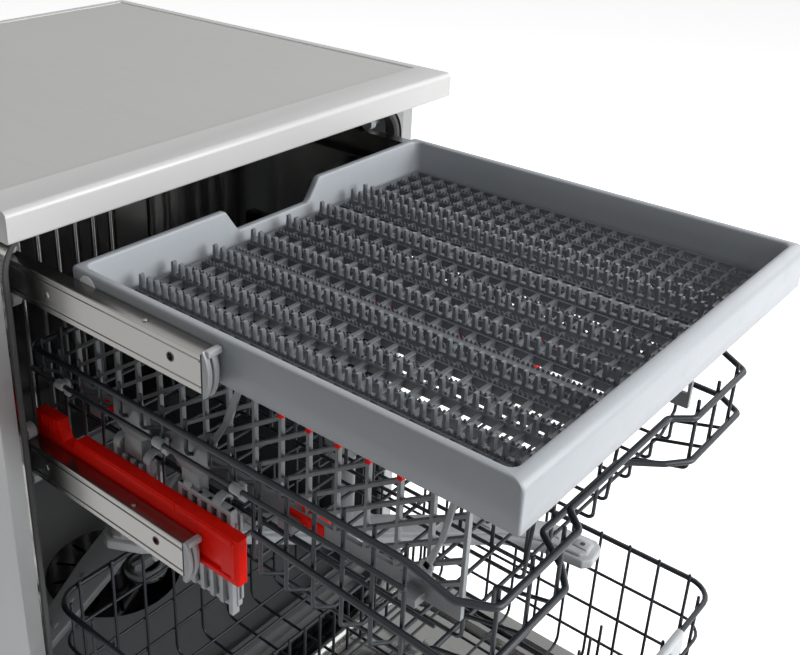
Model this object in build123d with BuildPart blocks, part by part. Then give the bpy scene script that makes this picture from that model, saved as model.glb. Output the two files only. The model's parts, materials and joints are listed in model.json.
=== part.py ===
from build123d import *
import os
from math import atan, cos, pi, radians, sin

os.makedirs("parts", exist_ok=True)

# Freestanding dishwasher with its door lowered and its racks drawn out, in millimetres.
# +X is to the right seen from the front, -Y is the front, +Z is up. The origin is on the
# floor, under the centre of the worktop.

# Cabinet
WIDTH = 598.0
DEPTH = 600.0
HEIGHT = 850.0
SHEET = 1.0                 # steel sheet of the panels and the tub
WORKTOP_THICKNESS = 28.0
FRONT_TRIM = 46.0           # wide front band of the worktop
SIDE_TRIM = 11.0
BOARD_THICKNESS = 16.0
BOARD_DROP = 1.2            # the board lies a little below its trim
GROOVE = 1.0                # groove between the board and its trim
TOP_EDGE_RADIUS = 6.0
PANEL_INSET = 1.0           # side panels stand inside the worktop's edge
FLANGE_WIDTH = 18.0         # front flange of a side panel
DOOR_THICKNESS = 50.0
FRONT_GAP = 1.7             # between the closed door and the cabinet
REAR_GAP = 5.0              # from the back panel to the worktop's rear edge
FOOT_HEIGHT = 22.0
FOOT_RADIUS = 19.0
CLEARANCE = 0.3

WORKTOP_Z = HEIGHT - WORKTOP_THICKNESS
FRONT = -DEPTH / 2
BODY_FRONT = FRONT + DOOR_THICKNESS + FRONT_GAP
BODY_REAR = DEPTH / 2 - REAR_GAP
PANEL_X = WIDTH / 2 - PANEL_INSET

# Tub
TUB_HALF = PANEL_X - FLANGE_WIDTH - 2 * SHEET
TUB_TOP = 812.0
TUB_CORNER = 45.0
TUB_BACK_GAP = 10.0         # between the tub and the back panel
TUB_BACK = BODY_REAR - SHEET - TUB_BACK_GAP
RUNNER_Z = 150.0            # the lower rack's wheels roll at this height
RUNNER_WIDTH = 32.0
BASIN_Z = 118.0
BASIN_WALL = 3.0
SILL_Z = 138.0              # front sill of the basin
SEAL_WIDTH = 9.0
SEAL_DEPTH = 14.0
CENTRE_Y = 18.0             # spray arms turn about this line when the racks are in
STEM_RADIUS = 12.0
SUMP_RADIUS = 96.0
SUMP_DEPTH = 42.0
CUP_RADIUS = 26.0
CUP_PLACE = (33.0, CENTRE_Y - 30.0)
SALT_PLACE = (-178.0, -92.0)
SALT_RADIUS = 30.0

# Door, hung on pins at its lower corners. A distance along the door counts from the pins.
HINGE_Y = FRONT + 38.0
HINGE_Z = 126.0
HINGE_PIN_RADIUS = 4.0
HINGE_CLEARANCE = 0.08
HINGE_PLATE = 3.0
DOOR_HEIGHT = 692.0         # from the pins to the door's upper edge
DOOR_FOOT = 8.0             # the outer panel ends this far below the pins
CONTROL_HEIGHT = 92.0
SEAT_Z = HINGE_Z + 12.0     # inner face of the open door's border, which meets the seal
DISH_Z = HINGE_Z - 4.0      # pressed dish of the open door's inner face
SKIN_Z = HINGE_Z - 36.0     # outer face of the open door
RIB_WIDTH = 6.0             # the lower rack's wheels roll on two ribs of the door

# Racks, drawn out
RAIL_WIDTH = 15.0
RAIL_HEIGHT = 34.0
RAIL_SHEET = 1.5
RAIL_X = 256.0              # outer face of the rails
CAP_LENGTH = 12.0
UPPER_RAIL_Z = 740.0
LOWER_RAIL_Z = 547.0
UPPER_RAIL_FRONT = -472.0
LOWER_RAIL_FRONT = -441.0
RAIL_LENGTH = 484.0

TRAY_HALF = 240.0
TRAY_REAR = -295.0
TRAY_FRONT = -738.0
TRAY_TOP = 784.0
TRAY_HEIGHT = 41.0
TRAY_SIDE_WALL = 8.0
TRAY_END_WALL = 14.0
TRAY_CORNER = 20.0

RACK_HALF = 236.0           # centre line of the middle rack's rim
RACK_REAR = -214.0
RACK_FRONT = -722.0
RACK_RIM_Z = 674.0
RACK_FLOOR_Z = 556.0
RIM_RADIUS = 3.0
WIRE = 3.6

BASKET_HALF = 244.0         # centre line of the lower rack's rim
BASKET_REAR = -214.0
BASKET_FRONT = -722.0
BASKET_RIM_Z = 372.0
BASKET_FLOOR_Z = 188.0
WHEEL_RADIUS = 17.0
WHEEL_WIDTH = 10.0


def door_y(distance):
    """Y of a place on the open door, at a distance from the hinge pins."""
    return HINGE_Y - distance


def span(low, high):
    """Centre and length of the stretch between two places."""
    return (low + high) / 2, high - low


def spread(low, high, pitch):
    """Evenly spaced places from low to high, at about the pitch."""
    count = max(1, round((high - low) / pitch))
    return [low + (high - low) * i / count for i in range(count + 1)]


# Worktop
worktop_board_y, board_depth = span(FRONT + FRONT_TRIM, DEPTH / 2 - SIDE_TRIM)
board_width = WIDTH - 2 * SIDE_TRIM
ledge = 14.0

with BuildPart() as worktop_trim:
    with BuildSketch(Plane.XY.offset(WORKTOP_Z)):
        Rectangle(WIDTH, DEPTH)
    extrude(amount=WORKTOP_THICKNESS)
    front_edges = worktop_trim.edges().filter_by(Axis.X).group_by(Axis.Y)[0]
    fillet(front_edges.sort_by(Axis.Z)[-1], TOP_EDGE_RADIUS)
    fillet(worktop_trim.edges().filter_by(Axis.X).group_by(Axis.Y)[0].sort_by(Axis.Z)[0], 2.5)
    with BuildSketch(Plane.XY.offset(HEIGHT)):
        with Locations((0, worktop_board_y)):
            Rectangle(board_width, board_depth)
    extrude(amount=-BOARD_THICKNESS - BOARD_DROP, mode=Mode.SUBTRACT)
    with BuildSketch(Plane.XY.offset(WORKTOP_Z)):
        with Locations((0, worktop_board_y)):
            Rectangle(board_width - 2 * ledge, board_depth - 2 * ledge)
    extrude(amount=WORKTOP_THICKNESS, mode=Mode.SUBTRACT)
worktop_trim.part.label = "worktop_trim"
export_step(worktop_trim.part, "parts/worktop_trim.step")

with BuildPart() as worktop_board:
    with BuildSketch(Plane.XY.offset(HEIGHT - BOARD_DROP)):
        with Locations((0, worktop_board_y)):
            RectangleRounded(board_width - 2 * GROOVE, board_depth - 2 * GROOVE, 2.0)
    extrude(amount=-BOARD_THICKNESS)
    chamfer(worktop_board.faces().sort_by(Axis.Z)[-1].edges(), 0.8)
worktop_board.part.label = "worktop_board"
export_step(worktop_board.part, "parts/worktop_board.step")

# Side panels: a folded sheet with a front flange, a return lip and a rear flange
panel_height = WORKTOP_Z - FOOT_HEIGHT
return_lip = 10.0
rear_flange = 22.0
slot_low, slot_high = HINGE_Z - 34.0, HINGE_Z + 26.0

with BuildPart() as side_panel_right:
    with BuildSketch(Plane.XY.offset(FOOT_HEIGHT)):
        mid_y, length = span(BODY_FRONT, BODY_REAR)
        with Locations((PANEL_X - SHEET / 2, mid_y)):
            Rectangle(SHEET, length)
        with Locations((PANEL_X - FLANGE_WIDTH / 2, BODY_FRONT + SHEET / 2)):
            Rectangle(FLANGE_WIDTH, SHEET)
        with Locations((PANEL_X - FLANGE_WIDTH + SHEET / 2, BODY_FRONT + return_lip / 2)):
            Rectangle(SHEET, return_lip)
        with Locations((PANEL_X - rear_flange / 2, BODY_REAR - SHEET / 2)):
            Rectangle(rear_flange, SHEET)
    extrude(amount=panel_height)
    outer = side_panel_right.edges().filter_by(Axis.Z).group_by(Axis.Y)[0].sort_by(Axis.X)[-1]
    fillet(outer, SHEET * 0.9)
    with BuildSketch(Plane.XZ.offset(-BODY_FRONT)):
        z_mid, slot = span(slot_low, slot_high)
        with Locations((PANEL_X - (FLANGE_WIDTH + SHEET) / 2, z_mid)):
            Rectangle(FLANGE_WIDTH - SHEET, slot)
    extrude(amount=-return_lip, mode=Mode.SUBTRACT)
    with BuildSketch(Plane.XY.offset(FOOT_HEIGHT)):
        with Locations((PANEL_X - SHEET - return_lip / 2, mid_y)):
            Rectangle(return_lip, length - 2 * SHEET - 2 * return_lip)
    extrude(amount=SHEET)
side_panel_right.part.label = "side_panel_right"
export_step(side_panel_right.part, "parts/side_panel_right.step")

with BuildPart() as side_panel_left:
    add(mirror(side_panel_right.part, about=Plane.YZ))
side_panel_left.part.label = "side_panel_left"
export_step(side_panel_left.part, "parts/side_panel_left.step")

# Back panel: a sheet with two pressed ribs, above the service opening
service_z = 112.0
rib_depth = 5.0
with BuildPart() as back_panel:
    back_y = BODY_REAR - SHEET
    z_mid, tall = span(service_z, WORKTOP_Z)
    with BuildSketch(Plane.XZ.offset(-back_y)):
        with Locations((0, z_mid)):
            Rectangle(2 * (PANEL_X - rear_flange) + 12.0, tall)
    extrude(amount=SHEET)
    with BuildSketch(Plane.XZ.offset(-back_y + SHEET)):
        with Locations((-110, z_mid), (110, z_mid)):
            SlotCenterToCenter(tall - 180.0, 60.0, rotation=90)
    extrude(amount=rib_depth, taper=20)
    with BuildSketch(Plane.XZ.offset(-back_y)):
        with Locations((-110, z_mid), (110, z_mid)):
            SlotCenterToCenter(tall - 180.0, 56.0, rotation=90)
    extrude(amount=rib_depth, taper=20, mode=Mode.SUBTRACT)
back_panel.part.label = "back_panel"
export_step(back_panel.part, "parts/back_panel.step")

# Tub: a wrapper bent over the two upper corners, with a front frame, and a ribbed back
tub_height = TUB_TOP - BASIN_Z
tub_mid_z = BASIN_Z + tub_height / 2


def tub_outline(inset):
    """Outline of the tub's cross-section, drawn in by an inset, with rounded upper corners."""
    blank = Pos(0, tub_mid_z - inset / 2) * Rectangle(2 * (TUB_HALF - inset), tub_height - inset)
    return fillet(blank.vertices().group_by(Axis.Y)[-1], TUB_CORNER - inset)


tub_skin, tub_bore = tub_outline(-SHEET), tub_outline(0)
seal_outer, seal_inner = tub_outline(CLEARANCE), tub_outline(SEAL_WIDTH)
tub_length = TUB_BACK - BODY_FRONT
with BuildPart() as tub_wrapper:
    with BuildSketch(Plane.XZ.offset(-BODY_FRONT)):
        add(tub_skin)
    extrude(amount=-tub_length)
    with BuildSketch(Plane.XZ.offset(-BODY_FRONT)):
        frame_z, frame_tall = span(BASIN_Z - SHEET, WORKTOP_Z)
        with Locations((0, frame_z)):
            Rectangle(2 * (PANEL_X - FLANGE_WIDTH), frame_tall)
    extrude(amount=-SHEET)
    with BuildSketch(Plane.XZ.offset(-BODY_FRONT)):
        add(tub_bore)
    extrude(amount=-tub_length, mode=Mode.SUBTRACT)
    bottom_cut = 4 * SHEET
    with BuildSketch(Plane.XY.offset(BASIN_Z - bottom_cut)):
        with Locations((0, BODY_FRONT + tub_length / 2)):
            Rectangle(2 * PANEL_X, tub_length + SHEET)
    extrude(amount=bottom_cut, mode=Mode.SUBTRACT)
tub_wrapper.part.label = "tub_wrapper"
export_step(tub_wrapper.part, "parts/tub_wrapper.step")

rib_radius = 9.0
rib_rise = 5.0
rib_pitch = 34.0
rib_bottom, rib_top = BASIN_Z + 90.0, TUB_TOP - 30.0
duct_half = 34.0
rib_places = [(x, TUB_BACK + rib_radius - rib_rise) for x in spread(-238.0, 238.0, rib_pitch)
              if abs(x) > duct_half + rib_radius]
with BuildPart() as tub_back:
    with BuildSketch(Plane.XZ.offset(-TUB_BACK)):
        add(tub_skin)
    extrude(amount=-SHEET)
    with BuildSketch(Plane.XY.offset(rib_bottom)):
        with Locations(*rib_places):
            Circle(rib_radius)
    extrude(amount=rib_top - rib_bottom)
    with BuildSketch(Plane.XY.offset(rib_bottom + SHEET)):
        with Locations(*rib_places):
            Circle(rib_radius - SHEET)
    extrude(amount=rib_top - rib_bottom - 2 * SHEET, mode=Mode.SUBTRACT)
    with BuildSketch(Plane.XY.offset(rib_bottom - SHEET)):
        with Locations((0, TUB_BACK + SHEET + rib_radius)):
            Rectangle(2 * TUB_HALF, 2 * rib_radius)
    extrude(amount=rib_top - rib_bottom + 2 * SHEET, mode=Mode.SUBTRACT)
tub_back.part.label = "tub_back"
export_step(tub_back.part, "parts/tub_back.step")

# Basin: the tub's floor, with runners for the lower rack, a sill and the sump's hole
basin_half = TUB_HALF - CLEARANCE
basin_front = BODY_FRONT + SHEET + CLEARANCE
basin_rear = TUB_BACK - CLEARANCE
basin_y, basin_length = span(basin_front, basin_rear)
runner_inner = basin_half - RUNNER_WIDTH
well_y, well_length = span(basin_front + 16.0, basin_rear - 10.0)
with BuildPart() as tub_basin:
    with BuildSketch(Plane.XY.offset(BASIN_Z)):
        with Locations((0, basin_y)):
            Rectangle(2 * basin_half, basin_length)
    extrude(amount=RUNNER_Z - BASIN_Z)
    with BuildSketch(Plane.XY.offset(RUNNER_Z)):
        with Locations((0, well_y)):
            RectangleRounded(2 * runner_inner, well_length, 24.0)
    extrude(amount=-(RUNNER_Z - BASIN_Z - BASIN_WALL), taper=8, mode=Mode.SUBTRACT)
    with BuildSketch(Plane.XY.offset(SILL_Z)):
        with Locations((0, basin_front + 9.0)):
            Rectangle(2 * runner_inner, 20.0)
    extrude(amount=RUNNER_Z - SILL_Z, mode=Mode.SUBTRACT)
    for side in (-1, 1):
        with BuildSketch(Plane.XY.offset(BASIN_Z)):
            with Locations((side * (runner_inner + 5.0 + RUNNER_WIDTH / 2), basin_y)):
                Rectangle(RUNNER_WIDTH - 2 * BASIN_WALL - 6.0, basin_length - 2 * BASIN_WALL)
        extrude(amount=RUNNER_Z - BASIN_Z - BASIN_WALL, mode=Mode.SUBTRACT)
    with BuildSketch(Plane.XY.offset(BASIN_Z)):
        with Locations((0, CENTRE_Y)):
            Circle(SUMP_RADIUS)
        with Locations(SALT_PLACE):
            Circle(SALT_RADIUS)
    extrude(amount=BASIN_WALL, mode=Mode.SUBTRACT)
tub_basin.part.label = "tub_basin"
export_step(tub_basin.part, "parts/tub_basin.step")

base_wall = 3.0
floor_z = FOOT_HEIGHT + SHEET + base_wall
PUMP_X, PUMP_Y = -62.0, 142.0
DRAIN_PUMP_X = 118.0
PORT_RADIUS = 15.0
pump_z = floor_z + 42.0
drain_port_z = floor_z + 56.0

# Sump under the basin, with the strainer plate, the filter cup and the lower arm's stem
sump_flange = 8.0
cup_z = BASIN_Z - 20.0
cup_top = BASIN_Z + 12.0
with BuildPart() as sump:
    with BuildSketch(Plane.XZ.offset(-CENTRE_Y)):
        with BuildLine():
            Polyline((0, BASIN_Z - SUMP_DEPTH - 4.0), (58.0, BASIN_Z - SUMP_DEPTH - 4.0),
                     (SUMP_RADIUS - 10.0, BASIN_Z - 16.0), (SUMP_RADIUS + sump_flange, BASIN_Z - 3.0),
                     (SUMP_RADIUS + sump_flange, BASIN_Z), (SUMP_RADIUS - 6.0, BASIN_Z),
                     (SUMP_RADIUS - 20.0, BASIN_Z - 14.0), (55.0, BASIN_Z - SUMP_DEPTH),
                     (0, BASIN_Z - SUMP_DEPTH), close=True)
        make_face()
    revolve(axis=Axis((0, CENTRE_Y, 0), (0, 0, 1)))
    with BuildSketch(Plane.XY.offset(BASIN_Z - SUMP_DEPTH)):
        with Locations((0, CENTRE_Y)):
            Circle(STEM_RADIUS)
    extrude(amount=RUNNER_Z - BASIN_Z + SUMP_DEPTH)
    with BuildSketch(Plane.YZ.offset(PUMP_X)):
        with Locations((PUMP_Y, pump_z)):
            Circle(PORT_RADIUS)
    extrude(amount=2 * PORT_RADIUS)
    with BuildSketch(Plane.XZ.offset(-PUMP_Y - PORT_RADIUS)):
        with Locations((PUMP_X + 2 * PORT_RADIUS, pump_z)):
            Circle(PORT_RADIUS)
    extrude(amount=PUMP_Y + PORT_RADIUS - CENTRE_Y - 40.0)
    with BuildSketch(Plane.YZ.offset(DRAIN_PUMP_X)):
        with Locations((CENTRE_Y, drain_port_z)):
            Circle(13.0)
    extrude(amount=-DRAIN_PUMP_X + 70.0)
sump.part.label = "sump"
export_step(sump.part, "parts/sump.step")

strainer_thickness = 2.4
with BuildPart() as strainer_plate:
    with BuildSketch(Plane.XY.offset(BASIN_Z)):
        with Locations((0, CENTRE_Y)):
            Circle(SUMP_RADIUS - CLEARANCE)
            Circle(STEM_RADIUS + CLEARANCE, mode=Mode.SUBTRACT)
        with Locations(CUP_PLACE):
            Circle(CUP_RADIUS + CLEARANCE, mode=Mode.SUBTRACT)
        with Locations(Location((0, CENTRE_Y))):
            with PolarLocations(72.0, 9, 95.0, 260.0):
                SlotOverall(30.0, 5.0, mode=Mode.SUBTRACT)
    extrude(amount=strainer_thickness)
strainer_plate.part.label = "strainer_plate"
export_step(strainer_plate.part, "parts/strainer_plate.step")

with BuildPart() as filter_cup:
    with BuildSketch(Plane.XY.offset(cup_z)):
        with Locations(CUP_PLACE):
            Circle(CUP_RADIUS - 2.0)
    extrude(amount=cup_top - cup_z)
    with BuildSketch(Plane.XY.offset(BASIN_Z + strainer_thickness + CLEARANCE)):
        with Locations(CUP_PLACE):
            Circle(CUP_RADIUS + 5.0)
    extrude(amount=3.0)
    with BuildSketch(Plane.XY.offset(cup_z + 3.0)):
        with Locations(CUP_PLACE):
            Circle(CUP_RADIUS - 5.0)
    extrude(amount=cup_top - cup_z, mode=Mode.SUBTRACT)
    with BuildSketch(Plane.XY.offset(cup_top - 8.0)):
        with Locations(CUP_PLACE):
            Rectangle(2 * CUP_RADIUS - 8.0, 8.0)
    extrude(amount=16.0)
filter_cup.part.label = "filter_cup"
export_step(filter_cup.part, "parts/filter_cup.step")

# Water softener under the basin, with its screw cap inside the tub
tank_z, tank_height = 44.0, BASIN_Z - 44.0
with BuildPart() as softener_tank:
    with BuildSketch(Plane.XY.offset(tank_z)):
        with Locations((SALT_PLACE[0], SALT_PLACE[1])):
            RectangleRounded(124.0, 176.0, 14.0)
    extrude(amount=tank_height)
    with BuildSketch(Plane.XY.offset(BASIN_Z)):
        with Locations(SALT_PLACE):
            Circle(SALT_RADIUS - CLEARANCE)
            Circle(SALT_RADIUS - 5.0, mode=Mode.SUBTRACT)
    extrude(amount=BASIN_WALL)
    with BuildSketch(Plane.XY.offset(BASIN_Z)):
        with Locations(SALT_PLACE):
            Circle(SALT_RADIUS - 5.0)
    extrude(amount=-30.0, mode=Mode.SUBTRACT)
softener_tank.part.label = "softener_tank"
export_step(softener_tank.part, "parts/softener_tank.step")

cap_z = BASIN_Z + BASIN_WALL + CLEARANCE
with BuildPart() as salt_cap:
    with BuildSketch(Plane.XY.offset(cap_z)):
        with Locations(SALT_PLACE):
            Circle(SALT_RADIUS + 4.0)
    extrude(amount=9.0)
    chamfer(salt_cap.edges().group_by(Axis.Z)[-1], 1.5)
    with BuildSketch(Plane.XY.offset(cap_z + 9.0)):
        with Locations(SALT_PLACE):
            SlotOverall(46.0, 12.0)
    extrude(amount=9.0, taper=4)
    with BuildSketch(Plane.XY.offset(cap_z)):
        with Locations(SALT_PLACE):
            Circle(SALT_RADIUS - 5.0 - CLEARANCE)
    extrude(amount=-18.0)
salt_cap.part.label = "salt_cap"
export_step(salt_cap.part, "parts/salt_cap.step")

# Base tray, plinth, feet and rear counterweight
base_half = PANEL_X - SHEET - CLEARANCE
base_front = BODY_FRONT + 32.0
base_rim = 58.0
base_y, base_length = span(base_front, BODY_REAR - 2.0)
with BuildPart() as base_tray:
    with BuildSketch(Plane.XY.offset(FOOT_HEIGHT + SHEET)):
        with Locations((0, base_y)):
            RectangleRounded(2 * base_half, base_length, 8.0)
    extrude(amount=base_rim - FOOT_HEIGHT - SHEET)
    with BuildSketch(Plane.XY.offset(FOOT_HEIGHT + SHEET + base_wall)):
        with Locations((0, base_y)):
            RectangleRounded(2 * (base_half - base_wall), base_length - 2 * base_wall, 5.0)
    extrude(amount=base_rim, mode=Mode.SUBTRACT)
    with BuildSketch(Plane.XY.offset(FOOT_HEIGHT + SHEET)):
        with GridLocations(2 * base_half - 120.0, 10.0, 2, 1):
            with Locations((0, base_y)):
                Rectangle(12.0, base_length - base_wall)
    extrude(amount=14.0)
base_tray.part.label = "base_tray"
export_step(base_tray.part, "parts/base_tray.step")

with BuildPart() as plinth:
    z_mid, tall = span(FOOT_HEIGHT + 4.0, HINGE_Z - 40.0)
    with BuildSketch(Plane.XZ.offset(-base_front + CLEARANCE)):
        with Locations((0, z_mid)):
            RectangleRounded(2 * base_half - 2.0, tall, 3.0)
    extrude(amount=2.0)
    with BuildSketch(Plane.XZ.offset(-base_front + CLEARANCE)):
        with Locations((0, z_mid)):
            Rectangle(2 * base_half - 40.0, 5.0)
    extrude(amount=5.0)
plinth.part.label = "plinth"
export_step(plinth.part, "parts/plinth.step")

foot_places = [(x, y) for x in (-262.0, 262.0) for y in (base_front + 26.0, BODY_REAR - 34.0)]
with BuildPart() as levelling_feet:
    with BuildSketch(Plane.XY):
        with Locations(*foot_places):
            RegularPolygon(FOOT_RADIUS, 12)
    extrude(amount=9.0, taper=6)
    with BuildSketch(Plane.XY.offset(9.0)):
        with Locations(*foot_places):
            Circle(5.0)
    extrude(amount=FOOT_HEIGHT + SHEET - 9.0)
levelling_feet.part.label = "levelling_feet"
export_step(levelling_feet.part, "parts/levelling_feet.step")

with BuildPart() as counterweight:
    with BuildSketch(Plane.XY.offset(floor_z)):
        with Locations((10.0, BODY_REAR - 44.0)):
            RectangleRounded(330.0, 62.0, 6.0)
    extrude(amount=44.0)
    chamfer(counterweight.edges().group_by(Axis.Z)[-1], 3.0)
counterweight.part.label = "counterweight"
export_step(counterweight.part, "parts/counterweight.step")

# Pumps and water connections under the basin
with BuildPart() as pumps:
    with BuildSketch(Plane.YZ.offset(PUMP_X - 34.0)):
        with Locations((PUMP_Y, pump_z)):
            Circle(36.0)
    extrude(amount=-96.0)
    with BuildSketch(Plane.YZ.offset(PUMP_X)):
        with Locations((PUMP_Y, pump_z)):
            Circle(41.0)
    extrude(amount=-34.0)
    chamfer(pumps.edges().filter_by(GeomType.CIRCLE).sort_by(Axis.X)[0], 5.0)
    chamfer(pumps.edges().filter_by(GeomType.CIRCLE).sort_by(Axis.X)[-1], 5.0)
    with BuildSketch(Plane.XY.offset(floor_z)):
        with Locations((PUMP_X - 78.0, PUMP_Y)):
            Rectangle(70.0, 22.0)
    extrude(amount=16.0)
    with BuildSketch(Plane.YZ.offset(DRAIN_PUMP_X)):
        with Locations((CENTRE_Y, drain_port_z)):
            Circle(26.0)
    extrude(amount=62.0)
    chamfer(pumps.edges().filter_by(GeomType.CIRCLE).sort_by(Axis.X)[-1], 4.0)
    with BuildSketch(Plane.XY.offset(floor_z)):
        with Locations((DRAIN_PUMP_X + 32.0, CENTRE_Y)):
            Rectangle(40.0, 18.0)
    extrude(amount=drain_port_z - floor_z - 20.0)
pumps.part.label = "pumps"
export_step(pumps.part, "parts/pumps.step")

INLET_RADIUS = 13.2
inlet_place = (-210.0, floor_z + 50.0)
with BuildPart() as inlet_valve:
    with BuildSketch(Plane.XZ.offset(-BODY_REAR + 30.0)):
        with Locations(inlet_place):
            RectangleRounded(54.0, 46.0, 6.0)
    extrude(amount=-16.0)
    with BuildSketch(Plane.XZ.offset(-BODY_REAR + 14.0)):
        with Locations(inlet_place):
            RegularPolygon(18.0, 8)
    extrude(amount=-5.0)
    with BuildSketch(Plane.XZ.offset(-BODY_REAR + 9.0)):
        with Locations(inlet_place):
            Circle(INLET_RADIUS)
    extrude(amount=-14.0)
    with BuildSketch(Plane.XZ.offset(-BODY_REAR - 5.0)):
        with Locations(inlet_place):
            Circle(INLET_RADIUS - 4.0)
    extrude(amount=16.0, mode=Mode.SUBTRACT)
    with BuildSketch(Plane.XY.offset(floor_z)):
        with Locations((inlet_place[0], BODY_REAR - 22.0)):
            Rectangle(30.0, 14.0)
    extrude(amount=30.0)
inlet_valve.part.label = "inlet_valve"
export_step(inlet_valve.part, "parts/inlet_valve.step")

DRAIN_RADIUS = 9.5
drain_place = (214.0, floor_z + 52.0)
with BuildPart() as drain_outlet:
    with BuildSketch(Plane.XZ.offset(-BODY_REAR + 26.0)):
        with Locations(drain_place):
            Circle(15.0)
    extrude(amount=-4.0)
    with BuildSketch(Plane.XZ.offset(-BODY_REAR + 22.0)):
        with Locations(drain_place):
            Circle(DRAIN_RADIUS)
    extrude(amount=-27.0)
    with BuildSketch(Plane.XZ.offset(-BODY_REAR - 5.0)):
        with Locations(drain_place):
            Circle(DRAIN_RADIUS - 2.5)
    extrude(amount=29.0, mode=Mode.SUBTRACT)
    with BuildSketch(Plane.XY.offset(floor_z)):
        with Locations((drain_place[0], BODY_REAR - 28.0)):
            Rectangle(26.0, 8.0)
    extrude(amount=drain_place[1] - floor_z - DRAIN_RADIUS + 1.0)
drain_outlet.part.label = "drain_outlet"
export_step(drain_outlet.part, "parts/drain_outlet.step")

# Feed duct on the tub's back, with its branch under the tub's ceiling
duct_depth = 14.0
FEED_Z = 545.0              # water reaches the middle rack at this height
ceiling_z = TUB_TOP - 9.0
with BuildPart() as feed_duct:
    with BuildSketch(Plane.XY.offset(RUNNER_Z)):
        with Locations((0, TUB_BACK - duct_depth / 2)):
            RectangleRounded(2 * duct_half - 8.0, duct_depth, 5.0)
    extrude(amount=ceiling_z + 8.0 - RUNNER_Z)
    y_mid, length = span(CENTRE_Y, TUB_BACK - duct_depth)
    with BuildSketch(Plane.XY.offset(ceiling_z)):
        with Locations((0, y_mid)):
            Rectangle(34.0, length)
        with Locations((0, CENTRE_Y)):
            Circle(22.0)
    extrude(amount=8.0)
    with BuildSketch(Plane.XZ.offset(-TUB_BACK + duct_depth)):
        with Locations((0, FEED_Z)):
            Circle(16.0)
    extrude(amount=-6.0, mode=Mode.SUBTRACT)
feed_duct.part.label = "feed_duct"
export_step(feed_duct.part, "parts/feed_duct.step")

# Seal: a rubber profile round three sides of the tub's mouth
with BuildPart() as tub_seal:
    seal_cut = BASIN_Z + 22.0
    with BuildSketch(Plane.XZ.offset(-BODY_FRONT - SHEET)):
        add(seal_outer)
    extrude(amount=-SEAL_DEPTH)
    with BuildSketch(Plane.XZ.offset(-BODY_FRONT - SHEET)):
        add(seal_inner)
    extrude(amount=-SEAL_DEPTH, mode=Mode.SUBTRACT)
    with BuildSketch(Plane.XY.offset(seal_cut - 60.0)):
        with Locations((0, BODY_FRONT)):
            Rectangle(2 * PANEL_X, 4 * SEAL_DEPTH)
    extrude(amount=RUNNER_Z + 2.0 - seal_cut + 60.0, mode=Mode.SUBTRACT)
    chamfer(tub_seal.edges().group_by(Axis.Y)[0], 2.5)
tub_seal.part.label = "tub_seal"
export_step(tub_seal.part, "parts/tub_seal.step")

# Spray arms: hollow blades with a hub and rows of nozzles
ARM_THICKNESS = 11.0
TOP_ARM_REACH = 214.0
LOWER_ARM_REACH = 236.0
MIDDLE_ARM_REACH = 256.0
MIDDLE_ARM_PLACE = (-12.0, -412.0)
MIDDLE_ARM_Z = 430.0
MIDDLE_ARM_ANGLE = -45.0
ARM_ROOT, ARM_TIP, ARM_CHAMFER = 54.0, 30.0, 11.0
HUB_RISE, NOZZLE_RISE = 5.0, 2.0
TOP_ARM_Z = ceiling_z - HUB_RISE - ARM_THICKNESS - CLEARANCE
LOWER_ARM_Z = RUNNER_Z + HUB_RISE + CLEARANCE


def spray_arm(place, low, reach, angle, hub_side, nozzle_side):
    """A spray arm turned about Z: its blade, its hub above or below, and its nozzle rows."""
    base = Plane(origin=(*place, low), x_dir=(cos(radians(angle)), sin(radians(angle)), 0))
    nozzle_plane = base.offset(ARM_THICKNESS - 0.5 if nozzle_side > 0 else 0.5)
    hub_plane = base.offset(ARM_THICKNESS - 0.5 if hub_side > 0 else 0.5)
    with BuildPart() as arm:
        with BuildSketch(base):
            with BuildLine():
                Polyline((0, ARM_ROOT / 2), (reach * 0.2, ARM_ROOT / 2),
                         (reach - ARM_CHAMFER, ARM_TIP / 2), (reach, ARM_TIP / 2 - ARM_CHAMFER),
                         (reach, -ARM_TIP / 2 + ARM_CHAMFER), (reach - ARM_CHAMFER, -ARM_TIP / 2),
                         (reach * 0.2, -ARM_ROOT / 2), (0, -ARM_ROOT / 2))
                mirror(about=Plane.YZ)
            make_face()
        extrude(amount=ARM_THICKNESS)
        chamfer(arm.edges().group_by(Axis.Z)[-1], 1.5)
        with BuildSketch(nozzle_plane):
            with Locations(*[(side * reach * share, (0.5 - share) * 16.0)
                             for side in (-1, 1) for share in (0.3, 0.5, 0.7, 0.9)]):
                Rectangle(9.0, 9.0)
        extrude(amount=nozzle_side * (NOZZLE_RISE + 0.5))
        with BuildSketch(hub_plane):
            Circle(STEM_RADIUS + 6.0)
        extrude(amount=hub_side * (HUB_RISE + 0.5))
    return arm.part


lower_arm_blank = spray_arm((0, CENTRE_Y), LOWER_ARM_Z, LOWER_ARM_REACH, 24.0, -1, 1)
with BuildPart() as lower_spray_arm:
    add(lower_arm_blank)
lower_spray_arm.part.label = "lower_spray_arm"
export_step(lower_spray_arm.part, "parts/lower_spray_arm.step")

top_arm_blank = spray_arm((0, CENTRE_Y), TOP_ARM_Z, TOP_ARM_REACH, -30.0, 1, -1)
with BuildPart() as top_spray_arm:
    add(top_arm_blank)
top_spray_arm.part.label = "top_spray_arm"
export_step(top_spray_arm.part, "parts/top_spray_arm.step")

middle_arm_blank = spray_arm(MIDDLE_ARM_PLACE, MIDDLE_ARM_Z, MIDDLE_ARM_REACH, MIDDLE_ARM_ANGLE, 1, 1)
with BuildPart() as middle_spray_arm:
    add(middle_arm_blank)
middle_spray_arm.part.label = "middle_spray_arm"
export_step(middle_spray_arm.part, "parts/middle_spray_arm.step")

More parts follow.
